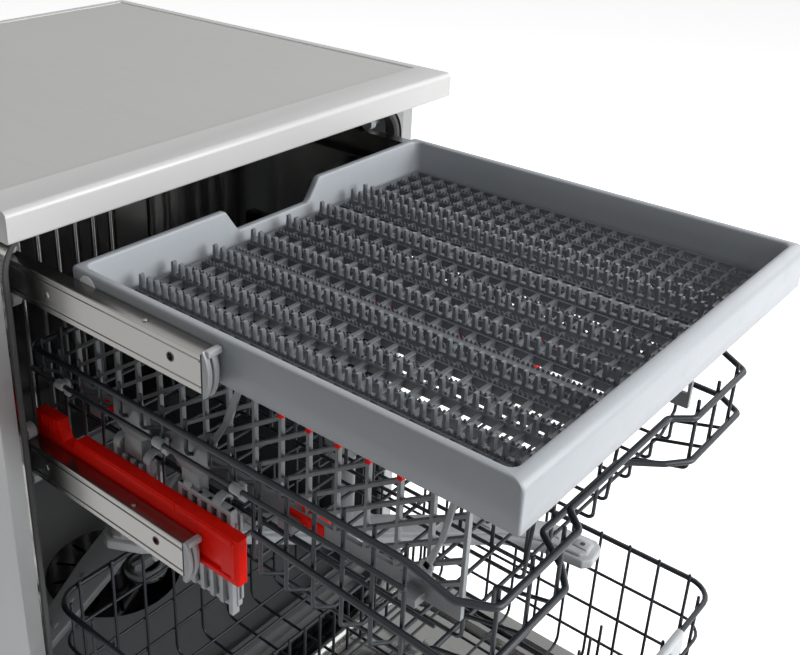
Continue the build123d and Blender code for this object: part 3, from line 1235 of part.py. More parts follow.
front_tines_blank, rear_tines_blank = [plate_tines(y) for y in PLATE_TINE_ROWS]
with BuildPart() as plate_tines_front:
    add(front_tines_blank)
plate_tines_front.part.label = "plate_tines_front"
export_step(plate_tines_front.part, "parts/plate_tines_front.step")

with BuildPart() as plate_tines_rear:
    add(rear_tines_blank)
plate_tines_rear.part.label = "plate_tines_rear"
export_step(plate_tines_rear.part, "parts/plate_tines_rear.step")


def wheel_pair(y):
    """The left and right wheel on one line of the lower rack."""
    with BuildPart() as pair:
        for side in (-1, 1):
            with BuildSketch(Plane.YZ.offset(side * wheel_x)):
                with Locations((y, wheel_z)):
                    Circle(WHEEL_RADIUS)
                    Circle(axle_radius + HINGE_CLEARANCE, mode=Mode.SUBTRACT)
            extrude(amount=side * WHEEL_WIDTH)
            chamfer(pair.edges().filter_by(GeomType.CIRCLE).group_by(SortBy.RADIUS)[-1]
                    .filter_by_position(Axis.X, min(side * 200, side * 300), max(side * 200, side * 300)), 1.0)
    return pair.part


front_wheels_blank, rear_wheels_blank = [wheel_pair(y) for y in WHEEL_LINES]
with BuildPart() as wheels_front:
    add(front_wheels_blank)
wheels_front.part.label = "wheels_front"
export_step(wheels_front.part, "parts/wheels_front.step")

with BuildPart() as wheels_rear:
    add(rear_wheels_blank)
wheels_rear.part.label = "wheels_rear"
export_step(wheels_rear.part, "parts/wheels_rear.step")

# Door: a pressed liner with a dish, an outer panel, and a control panel on its far end
LINER_START, LINER_END = 16.0, 682.0
LINER_HALF = 288.0
LINER_DEPTH = 17.0
LINER_SHEET = 1.2
DISH_HALF, DISH_START, DISH_END = 244.0, 52.0, 640.0
liner_z = SEAT_Z - LINER_DEPTH
liner_mid, liner_length = span(door_y(LINER_END), door_y(LINER_START))
dish_mid, dish_length = span(door_y(DISH_END), door_y(DISH_START))
DISPENSER_PLACE = (44.0, door_y(330.0))
DISPENSER_SIZE = (168.0, 118.0)
with BuildPart() as door_liner:
    with BuildSketch(Plane.XY.offset(liner_z)):
        with Locations((0, liner_mid)):
            RectangleRounded(2 * LINER_HALF, liner_length, 10.0)
    extrude(amount=LINER_DEPTH)
    with BuildSketch(Plane.XY.offset(SEAT_Z)):
        with Locations((0, dish_mid)):
            RectangleRounded(2 * DISH_HALF, dish_length, 42.0)
    extrude(amount=DISH_Z - SEAT_Z, taper=12, mode=Mode.SUBTRACT)
    with BuildSketch(Plane.XY.offset(liner_z)):
        with Locations((0, liner_mid)):
            RectangleRounded(2 * (LINER_HALF - LINER_SHEET), liner_length - 2 * LINER_SHEET, 9.0)
        with Locations((0, dish_mid)):
            RectangleRounded(2 * (DISH_HALF + LINER_SHEET), dish_length + 2 * LINER_SHEET, 43.0,
                             mode=Mode.SUBTRACT)
    extrude(amount=LINER_DEPTH - LINER_SHEET, mode=Mode.SUBTRACT)
    with BuildSketch(Plane.XY.offset(liner_z)):
        with Locations(DISPENSER_PLACE):
            Rectangle(DISPENSER_SIZE[0] + 2 * CLEARANCE, DISPENSER_SIZE[1] + 2 * CLEARANCE)
    extrude(amount=LINER_DEPTH, mode=Mode.SUBTRACT)
    rib_mid, rib_length = span(door_y(450.0), door_y(26.0))
    rib_x = wheel_x + WHEEL_WIDTH - RIB_WIDTH / 2 + 0.5
    with BuildSketch(Plane.XY.offset(SEAT_Z)):
        with Locations((-rib_x, rib_mid), (rib_x, rib_mid)):
            Rectangle(RIB_WIDTH, rib_length)
    extrude(amount=RUNNER_Z - SEAT_Z, taper=3)
    with BuildSketch(Plane.XY.offset(DISH_Z)):
        with Locations((-150.0, dish_mid), (190.0, dish_mid)):
            SlotOverall(dish_length - 160.0, 22.0, rotation=90)
    extrude(amount=3.0, taper=30)
door_liner.part.label = "door_liner"
export_step(door_liner.part, "parts/door_liner.step")

panel_end = DOOR_HEIGHT - CONTROL_HEIGHT
panel_mid, panel_length = span(door_y(panel_end), door_y(-DOOR_FOOT))
with BuildPart() as door_panel:
    with BuildSketch(Plane.XY.offset(SKIN_Z)):
        with Locations((0, panel_mid)):
            Rectangle(2 * PANEL_X, panel_length)
    extrude(amount=liner_z - SKIN_Z)
    fillet(door_panel.edges().group_by(Axis.Z)[0].filter_by(Axis.Y), 3.0)
    with BuildSketch(Plane.XY.offset(SKIN_Z + SHEET)):
        with Locations((0, panel_mid + SHEET)):
            Rectangle(2 * (PANEL_X - SHEET), panel_length)
    extrude(amount=liner_z, mode=Mode.SUBTRACT)
    fold_mid, fold_length = span(door_y(panel_end), door_y(LINER_START + 8.0))
    with BuildSketch(Plane.XY.offset(liner_z)):
        with Locations((-PANEL_X + 11.0, fold_mid), (PANEL_X - 11.0, fold_mid)):
            Rectangle(22.0, fold_length)
    extrude(amount=-SHEET)
    with BuildSketch(Plane.XZ.offset(-door_y(-DOOR_FOOT))):
        with Locations((0, SKIN_Z + 7.0)):
            Rectangle(2 * PANEL_X - 2 * SHEET, 14.0)
    extrude(amount=SHEET)
door_panel.part.label = "door_panel"
export_step(door_panel.part, "parts/door_panel.step")

BUTTON_RADIUS = 8.5
BUTTON_TRAVEL = 1.2
button_y = door_y(DOOR_HEIGHT - 34.0)
button_places = {"power_button": -232.0, "start_button": 232.0}
with BuildPart() as control_panel:
    with BuildSketch(Plane.YZ):
        with BuildLine():
            near, far = door_y(panel_end), door_y(DOOR_HEIGHT)
            Line((near, SKIN_Z), (far + 14.0, SKIN_Z))
            ThreePointArc((far + 14.0, SKIN_Z), (far + 3.6, SKIN_Z + 4.2), (far, SKIN_Z + 14.0))
            Polyline((far, SKIN_Z + 14.0), (far, liner_z), (near, liner_z), (near, SKIN_Z))
        make_face()
    extrude(amount=PANEL_X, both=True)
    with BuildSketch(Plane.XY.offset(SKIN_Z)):
        with Locations((0, near - 24.0)):
            RectangleRounded(250.0, 34.0, 8.0)
    extrude(amount=24.0, taper=6, mode=Mode.SUBTRACT)
    with BuildSketch(Plane.XY.offset(SKIN_Z)):
        with Locations(*[(x, button_y) for x in button_places.values()]):
            Circle(BUTTON_RADIUS + CLEARANCE)
    extrude(amount=10.0, mode=Mode.SUBTRACT)
    with BuildSketch(Plane.XY.offset(SKIN_Z)):
        with Locations((130.0, button_y)):
            RectangleRounded(84.0, 24.0, 3.0)
    extrude(amount=0.8, mode=Mode.SUBTRACT)
control_panel.part.label = "control_panel"
export_step(control_panel.part, "parts/control_panel.step")

for button_name, button_x in button_places.items():
    with BuildPart() as button:
        with BuildSketch(Plane.XY.offset(SKIN_Z - 1.5)):
            with Locations((button_x, button_y)):
                Circle(BUTTON_RADIUS)
        extrude(amount=10.0 - BUTTON_TRAVEL)
        chamfer(button.edges().group_by(Axis.Z)[0], 0.8)
    button.part.label = button_name
    export_step(button.part, f"parts/{button_name}.step")

# Detergent dispenser in the liner's dish, with its sliding lid and the rinse-aid cap
dispenser_x, dispenser_y = DISPENSER_PLACE
dispenser_low, dispenser_top = SKIN_Z + SHEET + 8.0, DISH_Z + 8.0
CUP_SIZE = (64.0, 82.0)
cup_place = (dispenser_x + 34.0, dispenser_y)
rinse_place = (dispenser_x - 46.0, dispenser_y + 12.0)
with BuildPart() as dispenser:
    with BuildSketch(Plane.XY.offset(dispenser_low)):
        with Locations(DISPENSER_PLACE):
            RectangleRounded(*DISPENSER_SIZE, 8.0)
    extrude(amount=dispenser_top - dispenser_low)
    with BuildSketch(Plane.XY.offset(DISH_Z)):
        with Locations(DISPENSER_PLACE):
            RectangleRounded(DISPENSER_SIZE[0] + 12.0, DISPENSER_SIZE[1] + 12.0, 12.0)
    extrude(amount=2.5)
    with BuildSketch(Plane.XY.offset(dispenser_top)):
        with Locations(cup_place):
            RectangleRounded(*CUP_SIZE, 10.0)
    extrude(amount=-22.0, taper=5, mode=Mode.SUBTRACT)
    with BuildSketch(Plane.XY.offset(dispenser_top)):
        with Locations(rinse_place):
            Circle(14.0)
    extrude(amount=-18.0, mode=Mode.SUBTRACT)
dispenser.part.label = "dispenser"
export_step(dispenser.part, "parts/dispenser.step")

with BuildPart() as dispenser_lid:
    with BuildSketch(Plane.XY.offset(dispenser_top + CLEARANCE)):
        with Locations(cup_place):
            RectangleRounded(CUP_SIZE[0] + 10.0, CUP_SIZE[1] + 10.0, 10.0)
    extrude(amount=4.0)
    chamfer(dispenser_lid.edges().group_by(Axis.Z)[-1], 1.2)
    with BuildSketch(Plane.XY.offset(dispenser_top + CLEARANCE + 4.0)):
        with Locations((cup_place[0], cup_place[1] - 30.0)):
            SlotOverall(34.0, 8.0)
    extrude(amount=3.0)
dispenser_lid.part.label = "dispenser_lid"
export_step(dispenser_lid.part, "parts/dispenser_lid.step")

with BuildPart() as rinse_aid_cap:
    with BuildSketch(Plane.XY.offset(dispenser_top + CLEARANCE)):
        with Locations(rinse_place):
            Circle(18.0)
        with Locations((rinse_place[0], rinse_place[1] + 19.0)):
            Rectangle(16.0, 10.0)
    extrude(amount=4.0)
    chamfer(rinse_aid_cap.edges().group_by(Axis.Z)[-1], 1.0)
rinse_aid_cap.part.label = "rinse_aid_cap"
export_step(rinse_aid_cap.part, "parts/rinse_aid_cap.step")

# Hinges: brackets with pins and balance springs in the cabinet, arms on the door
ARM_X = LINER_HALF
BRACKET_X = ARM_X - 1.0 - HINGE_PLATE
bracket_foot = base_front + base_wall + 4.0
arm_radius = 12.0
with BuildPart() as hinge_arms:
    for side in (-1, 1):
        with BuildSketch(Plane.YZ.offset(side * ARM_X)):
            with Locations((HINGE_Y, HINGE_Z)):
                Circle(arm_radius)
            arm_mid, arm_length = span(door_y(150.0), door_y(6.0))
            arm_z, arm_tall = span(liner_z, liner_z + 12.0)
            with Locations((arm_mid, arm_z)):
                Rectangle(arm_length, arm_tall)
            with Locations((HINGE_Y, HINGE_Z)):
                Circle(HINGE_PIN_RADIUS + HINGE_CLEARANCE, mode=Mode.SUBTRACT)
        extrude(amount=side * HINGE_PLATE)
hinge_arms.part.label = "hinge_arms"
export_step(hinge_arms.part, "parts/hinge_arms.step")

spring_z, spring_radius = 84.0, 7.5
spring_front, spring_rear = -150.0, 40.0
with BuildPart() as hinge_brackets:
    for side in (-1, 1):
        with BuildSketch(Plane.YZ.offset(side * BRACKET_X)):
            y_mid, length = span(HINGE_Y - 11.0, spring_front)
            with Locations((y_mid, HINGE_Z)):
                RectangleRounded(length, 34.0, 6.0)
            y_mid, length = span(bracket_foot, spring_front)
            z_mid, tall = span(floor_z, HINGE_Z + 17.0)
            with Locations((y_mid, z_mid)):
                Rectangle(length, tall)
            z_mid, tall = span(floor_z, spring_z + spring_radius)
            with Locations((spring_rear + 4.0, z_mid)):
                Rectangle(8.0, tall)
        extrude(amount=side * HINGE_PLATE)
        with BuildSketch(Plane.YZ.offset(side * (BRACKET_X + HINGE_PLATE))):
            with Locations((HINGE_Y, HINGE_Z)):
                Circle(HINGE_PIN_RADIUS)
        extrude(amount=side * (HINGE_PLATE + 2.6))
        with BuildSketch(Plane.YZ.offset(side * (ARM_X + HINGE_PLATE + CLEARANCE))):
            with Locations((HINGE_Y, HINGE_Z)):
                Circle(HINGE_PIN_RADIUS + 2.5)
        extrude(amount=side * 1.3)
        with BuildSketch(Plane.XZ.offset(-spring_rear)):
            with Locations((side * (BRACKET_X + HINGE_PLATE / 2), spring_z)):
                Circle(spring_radius)
        extrude(amount=spring_rear - spring_front)
hinge_brackets.part.label = "hinge_brackets"
export_step(hinge_brackets.part, "parts/hinge_brackets.step")
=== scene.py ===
"""Looks of a freestanding dishwasher with its door lowered and its racks drawn out."""

import json
import logging
import math
from dataclasses import dataclass, field
from enum import Enum
from typing import Iterable, Sequence

import bmesh
import bpy
from bmesh.types import BMEdge, BMesh, BMVert
from mathutils import Matrix, Vector

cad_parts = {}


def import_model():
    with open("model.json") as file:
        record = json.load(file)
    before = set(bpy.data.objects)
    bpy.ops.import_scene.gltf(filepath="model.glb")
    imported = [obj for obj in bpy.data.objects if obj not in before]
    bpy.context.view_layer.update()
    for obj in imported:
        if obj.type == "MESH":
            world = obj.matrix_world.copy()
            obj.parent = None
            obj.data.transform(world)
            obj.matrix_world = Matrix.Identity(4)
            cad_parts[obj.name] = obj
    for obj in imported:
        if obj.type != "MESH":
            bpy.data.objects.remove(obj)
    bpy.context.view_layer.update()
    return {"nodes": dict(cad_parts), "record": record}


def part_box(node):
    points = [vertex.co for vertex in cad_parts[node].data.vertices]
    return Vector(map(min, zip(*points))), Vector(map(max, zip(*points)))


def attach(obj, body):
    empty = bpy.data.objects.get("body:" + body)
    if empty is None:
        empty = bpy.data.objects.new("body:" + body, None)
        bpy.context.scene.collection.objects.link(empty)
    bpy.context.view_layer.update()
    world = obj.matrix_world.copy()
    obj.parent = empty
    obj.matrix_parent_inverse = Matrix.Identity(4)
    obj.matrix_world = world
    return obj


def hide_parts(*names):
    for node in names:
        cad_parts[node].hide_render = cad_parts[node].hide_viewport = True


LOG = logging.getLogger("dishwasher")
MM = 0.001
PHOTO_WIDTH, PHOTO_HEIGHT = 800, 655
POLISHED, DULL = 0.05, 1.0

Colour = tuple[float, float, float]
Point = tuple[float, float, float]
Corner = tuple[float, float]


def metres(point: Sequence[float]) -> Vector:
    """A place given in millimetres, in metres."""
    return Vector(point) * MM


def spread(low: float, high: float, pitch: float) -> list[float]:
    """Evenly spaced places from low to high, both included, with about that pitch between them."""
    count = max(1, round((high - low) / pitch))
    return [low + (high - low) * i / count for i in range(count + 1)]


def mirror(run: Sequence[Point]) -> list[Point]:
    """A run of corners, mirrored across the machine's middle and taken backwards."""
    return [(-x, y, z) for x, y, z in reversed(run)]


def arc(centre: Corner, radius: float, start: float, end: float, steps: int) -> list[Corner]:
    """Corners of an outline's round part, between two angles in degrees, with that many runs."""
    angles = [math.radians(start + (end - start) * i / steps) for i in range(steps + 1)]
    return [(centre[0] + radius * math.cos(a), centre[1] + radius * math.sin(a)) for a in angles]


def vertices(geometry: Iterable[object]) -> list[BMVert]:
    """The points in an operator's geometry."""
    return [item for item in geometry if isinstance(item, BMVert)]


def bevel(mesh: BMesh, edges: Sequence[BMEdge], width: float, segments: int) -> None:
    """Rounds some of a mesh's edges, to a width in millimetres."""
    bmesh.ops.bevel(mesh, geom=edges, offset=width * MM, offset_type="OFFSET", segments=segments,
                    profile=0.5, affect="EDGES", clamp_overlap=True, material=-1)


def shade(mesh: BMesh, angle: float) -> None:
    """Smooths a mesh, apart from its sharp edges.

    Args:
        mesh: the mesh.
        angle: edges that turn by more than this, in degrees, stay sharp.
    """
    limit = math.radians(angle)
    for face in mesh.faces:
        face.smooth = True
    for edge in mesh.edges:
        edge.smooth = len(edge.link_faces) == 2 and edge.calc_face_angle() < limit


def tinted(colour: Colour, share: float, lift: float = 0.0) -> Colour:
    """A colour times a share, with a lift added, and no part of it over 1."""
    return tuple(min(1.0, part * share + lift) for part in colour)


class Socket:
    """A shader socket in an expression; each operator adds one Math node."""

    def __init__(self, shader: "Shader", output: bpy.types.NodeSocket) -> None:
        """Wraps an output socket of a shader's node tree."""
        self.shader, self.output = shader, output

    def _math(self, operation: str, *values: "Socket | float") -> "Socket":
        """Adds a Math node that works on these values."""
        return self.shader.node("ShaderNodeMath", {"operation": operation}, dict(enumerate(values)))

    def __add__(self, other: "Socket | float") -> "Socket":
        """This value plus another."""
        return self._math("ADD", self, other)

    __radd__ = __add__

    def __mul__(self, other: "Socket | float") -> "Socket":
        """This value times another."""
        return self._math("MULTIPLY", self, other)

    __rmul__ = __mul__

    def clamped(self, low: float, high: float) -> "Socket":
        """This value, kept between two limits."""
        return self._math("MAXIMUM", self._math("MINIMUM", self, high), low)


class Shader:
    """One node material, with its Principled shader."""

    def __init__(self, name: str) -> None:
        """Starts an empty material of that name."""
        self.material = bpy.data.materials.new(name)
        self.material.use_nodes = True
        self.tree = self.material.node_tree
        self.tree.nodes.clear()
        output = self.tree.nodes.new("ShaderNodeOutputMaterial")
        self.surface = self.tree.nodes.new("ShaderNodeBsdfPrincipled")
        self.tree.links.new(self.surface.outputs["BSDF"], output.inputs["Surface"])
        self.place = self.node("ShaderNodeTexCoord", {}, {}, "Object")

    def node(self, kind: str, settings: dict, inputs: dict, output: str | int = 0) -> Socket:
        """Adds a node.

        Args:
            kind: the node's type.
            settings: its own properties, set first; "stops" fills a colour ramp.
            inputs: a value or a Socket for each input, by name or index.
            output: the output to hand back.

        Returns:
            The chosen output.
        """
        made = self.tree.nodes.new(kind)
        for name, value in settings.items():
            if name == "stops":
                for element, (at, level) in zip(made.color_ramp.elements, value):
                    element.position, element.color = at, (level, level, level, 1.0)
            else:
                setattr(made, name, value)
        for name, value in inputs.items():
            if isinstance(value, Socket):
                self.tree.links.new(value.output, made.inputs[name])
            else:
                made.inputs[name].default_value = value
        return Socket(self, made.outputs[output])

    def stretched(self, scale: Point) -> Socket:
        """Object coordinates, scaled along each axis."""
        return self.node("ShaderNodeMapping", {}, {"Vector": self.place, "Scale": scale})

    def noise(self, scale: float, detail: float, rough: float = 0.55, vector: Socket | None = None) -> Socket:
        """A noise value from 0 to 1, with that many features in a metre and that many octaves of detail."""
        return self.node("ShaderNodeTexNoise", {}, {"Vector": vector or self.place, "Scale": scale,
                                                    "Detail": detail, "Roughness": rough}, "Fac")

    def mixed(self, share: Socket | float, first: Colour | Socket, second: Colour | Socket) -> Socket:
        """A colour between two others.

        Args:
            share: 0 for the first, 1 for the second.
            first: a colour.
            second: another one.

        Returns:
            The colour.
        """
        made = self.tree.nodes.new("ShaderNodeMix")
        made.data_type = "RGBA"
        for index, value in ((0, share), (6, first), (7, second)):
            if isinstance(value, Socket):
                self.tree.links.new(value.output, made.inputs[index])
            else:
                made.inputs[index].default_value = value if index == 0 else (*value, 1.0)
        return Socket(self, made.outputs[2])

    def bump(self, height: Socket, depth: float, strength: float) -> None:
        """Feeds a height to the shader's normal.

        Args:
            height: the height, from 0 to 1.
            depth: how many metres 1 stands for.
            strength: how strongly it shows.
        """
        made = self.node("ShaderNodeBump", {}, {"Height": height, "Distance": depth,
                                                "Strength": strength}, "Normal")
        self.feed("Normal", made)

    def feed(self, name: str, value: Socket | float | Colour) -> None:
        """Sets or links one input of the Principled shader.

        Args:
            name: the input.
            value: a number, a colour or a Socket.
        """
        socket = self.surface.inputs[name]
        if isinstance(value, Socket):
            self.tree.links.new(value.output, socket)
        elif isinstance(value, tuple):
            socket.default_value = (*value, 1.0)
        else:
            socket.default_value = value

    def roughen(self, value: Socket) -> None:
        """Feeds a roughness, kept between polished and dull."""
        self.feed("Roughness", value.clamped(POLISHED, DULL))


@dataclass(frozen=True)
class MouldedPlastic:
    """Plastic with a fine spark-eroded grain, a soft sheen and slight scuffs."""

    name: str
    colour: Colour
    roughness: float = 0.42
    grain: float = 0.00006
    grain_scale: float = 2600.0
    mottle: float = 0.07
    coat: float = 0.0
    coat_roughness: float = 0.18
    shine: float = 0.4
    cloud_scale: float = 9.0
    speck_scale: float = 420.0
    scuff_scale: float = 34.0
    scuff_stops: tuple[Corner, Corner] = ((0.52, 0.0), (0.75, 1.0))

    def material(self) -> bpy.types.Material:
        """Builds the material.

        Returns:
            The material.
        """
        shader = Shader(self.name)
        cloud = shader.noise(self.cloud_scale, 4.0)
        speck = shader.noise(self.speck_scale, 2.0)
        scuff = shader.node("ShaderNodeValToRGB", {"stops": self.scuff_stops},
                            {"Fac": shader.noise(self.scuff_scale, 6.0, 0.7)})
        darker, lighter = tinted(self.colour, 1.0 - self.mottle * 2), tinted(self.colour, 1.0 + self.mottle)
        tone = (cloud * 0.7 + speck * 0.3).clamped(0.0, 1.0)
        shader.feed("Base Color", shader.mixed(tone, darker, lighter))
        shader.roughen(speck * 0.08 + scuff * 0.12 + (self.roughness - 0.06))
        shader.feed("Specular IOR Level", self.shine)
        shader.feed("Coat Weight", self.coat)
        shader.feed("Coat Roughness", self.coat_roughness)
        shader.bump(shader.noise(self.grain_scale, 2.0), self.grain, 0.8)
        return shader.material


@dataclass(frozen=True)
class SheetMetal:
    """Painted or bare sheet with drawn-out grain lines, faint waves and fingermarks."""

    name: str
    colour: Colour
    metallic: float
    roughness: float
    stretch: Point = (30.0, 30.0, 900.0)
    line_depth: float = 0.00001
    line_share: float = 0.10
    smudge: float = 0.10
    shine: float = 0.5
    smear_scale: float = 7.0

    def material(self) -> bpy.types.Material:
        """Builds the material.

        Returns:
            The material.
        """
        shader = Shader(self.name)
        lines = shader.noise(1.0, 4.0, 0.6, shader.stretched(self.stretch))
        smear = shader.noise(self.smear_scale, 5.0, 0.6)
        darker = tinted(self.colour, 1.0 - self.line_share)
        lighter = tinted(self.colour, 1.0 + self.line_share)
        shader.feed("Base Color", shader.mixed(lines, darker, lighter))
        shader.feed("Metallic", self.metallic)
        shader.feed("Specular IOR Level", self.shine)
        shader.roughen(smear * self.smudge + lines * 0.10 + (self.roughness - 0.09))
        shader.bump(lines * 0.8 + smear * 0.2, self.line_depth, 0.7)
        return shader.material


@dataclass(frozen=True)
class CoatedWire:
    """Thick nylon coating on a wire: slightly lumpy, half glossy."""

    name: str
    colour: Colour
    roughness: float = 0.34
    shine: float = 0.3
    lump_scale: float = 160.0
    fine_scale: float = 900.0
    lump_depth: float = 0.00025
    shadow: float = 0.82
    glint: float = 1.25

    def material(self) -> bpy.types.Material:
        """Builds the material.

        Returns:
            The material.
        """
        shader = Shader(self.name)
        lump = shader.noise(self.lump_scale, 3.0)
        fine = shader.noise(self.fine_scale, 2.0)
        darker, lighter = tinted(self.colour, self.shadow), tinted(self.colour, self.glint)
        shader.feed("Base Color", shader.mixed(lump, darker, lighter))
        shader.roughen(fine * 0.14 + (self.roughness - 0.07))
        shader.feed("Specular IOR Level", self.shine)
        shader.bump(lump * 0.7 + fine * 0.3, self.lump_depth, 0.6)
        return shader.material


@dataclass(frozen=True)
class SoftRubber:
    """Dull rubber with a fine grain and dust."""

    name: str
    colour: Colour
    dust_scale: float = 60.0
    grain_scale: float = 1200.0
    grain: float = 0.00008

    def material(self) -> bpy.types.Material:
        """Builds the material.

        Returns:
            The material.
        """
        shader = Shader(self.name)
        dust = shader.noise(self.dust_scale, 5.0, 0.65)
        shader.feed("Base Color", shader.mixed(dust, self.colour, tinted(self.colour, 2.1, 0.01)))
        shader.roughen(dust * 0.2 + 0.6)
        shader.bump(shader.noise(self.grain_scale, 2.0), self.grain, 0.7)
        return shader.material


@dataclass(frozen=True)
class CastBlock:
    """Rough cast ballast with pits."""

    name: str
    colour: Colour
    pit_scale: float = 240.0
    pit_depth: float = 0.0008

    def material(self) -> bpy.types.Material:
        """Builds the material.

        Returns:
            The material.
        """
        shader = Shader(self.name)
        pits = shader.noise(self.pit_scale, 6.0, 0.7)
        shader.feed("Base Color", shader.mixed(pits, tinted(self.colour, 0.6), self.colour))
        shader.roughen(pits * 0.2 + 0.75)
        shader.bump(pits, self.pit_depth, 0.8)
        return shader.material


class Finish(Enum):
    """Every finish on the machine."""

    TRIM = SheetMetal("worktop_trim_silver", (0.46, 0.46, 0.458), 0.08, 0.42, (500.0, 14.0, 500.0),
                      line_depth=0.000006, line_share=0.03, smudge=0.08)
    TOP = SheetMetal("worktop_brushed_grey", (0.43, 0.43, 0.425), 0.05, 0.50, (420.0, 5.0, 420.0),
                     line_depth=0.000012, line_share=0.07, smudge=0.14, shine=0.16)
    PANEL = SheetMetal("side_panel_silver", (0.31, 0.315, 0.32), 0.55, 0.38, (26.0, 26.0, 26.0),
                       line_depth=0.00002, line_share=0.05)
    GALVANISED = SheetMetal("galvanised_sheet", (0.47, 0.48, 0.49), 0.8, 0.46, (60.0, 60.0, 60.0),
                            line_depth=0.00002, line_share=0.16, smudge=0.16)
    TUB = SheetMetal("tub_stainless", (0.23, 0.23, 0.227), 1.0, 0.13, (70.0, 70.0, 2.0),
                     line_depth=0.00007, line_share=0.05, smudge=0.04)
    RAIL = SheetMetal("rail_stainless", (0.27, 0.265, 0.255), 1.0, 0.22, (900.0, 8.0, 900.0),
                      line_depth=0.000006, line_share=0.05, smudge=0.12)
    CHROME = SheetMetal("bright_metal", (0.50, 0.50, 0.505), 1.0, 0.14, (200.0, 200.0, 200.0),
                        line_depth=0.000003, line_share=0.03, smudge=0.05)
    SILVER = MouldedPlastic("control_panel_silver", (0.42, 0.425, 0.43), 0.33, 0.00003, mottle=0.05,
                            coat=0.15)
    TRAY = MouldedPlastic("tray_plastic_grey", (0.305, 0.325, 0.35), 0.40, 0.00004)
    GRID = MouldedPlastic("tray_grid_slate", (0.095, 0.103, 0.115), 0.42, 0.00004)
    # lighter copy of the grid plastic for the comb fins: painted highlight where light catches the upright
    # fins
    LIT_FIN = MouldedPlastic("tray_fin_painted_highlight_grey", (0.17, 0.183, 0.20), 0.36, 0.00003)
    LATTICE = MouldedPlastic("lattice_plastic_grey", (0.20, 0.213, 0.223), 0.38, 0.00004)
    LIGHT = MouldedPlastic("light_grey_plastic", (0.36, 0.375, 0.39), 0.38)
    WHITE = MouldedPlastic("white_plastic", (0.72, 0.72, 0.70), 0.36)
    GREY = MouldedPlastic("mid_grey_plastic", (0.16, 0.165, 0.17), 0.45)
    DARK = MouldedPlastic("dark_plastic", (0.022, 0.023, 0.025), 0.45)
    RED = MouldedPlastic("red_plastic", (0.93, 0.010, 0.003), 0.42, 0.00003, mottle=0.04, shine=0.09)
    WIRE = CoatedWire("coated_wire_slate", (0.013, 0.016, 0.021), 0.36)
    RUBBER = SoftRubber("seal_rubber", (0.02, 0.02, 0.021))
    BALLAST = CastBlock("ballast", (0.16, 0.16, 0.155))


class Finishes:
    """Makes each finish's material once."""

    def __init__(self) -> None:
        """Starts with no material made."""
        self._made: dict[Finish, bpy.types.Material] = {}

    def of(self, finish: Finish) -> bpy.types.Material:
        """The material of a finish.

        Args:
            finish: the finish.

        Returns:
            Its material.
        """
        if finish not in self._made:
            self._made[finish] = finish.value.material()
        return self._made[finish]


SLOT_FINISHES: dict[str, Finish] = {
    "worktop_white": Finish.TRIM, "worktop_grey": Finish.TOP, "panel_silver": Finish.PANEL,
    "galvanised": Finish.GALVANISED, "tub_steel": Finish.TUB, "rail_steel": Finish.RAIL,
    "grey_plastic": Finish.GREY, "dark_plastic": Finish.DARK, "light_plastic": Finish.LIGHT,
    "white_plastic": Finish.WHITE, "tray_plastic": Finish.TRAY, "lattice_plastic": Finish.LATTICE,
    "red_plastic": Finish.RED, "coated_wire": Finish.WIRE, "seal_rubber": Finish.RUBBER,
    "weight_block": Finish.BALLAST, "fitting_metal": Finish.CHROME, "silver_plastic": Finish.SILVER,
    "grid_plastic": Finish.GRID,
}


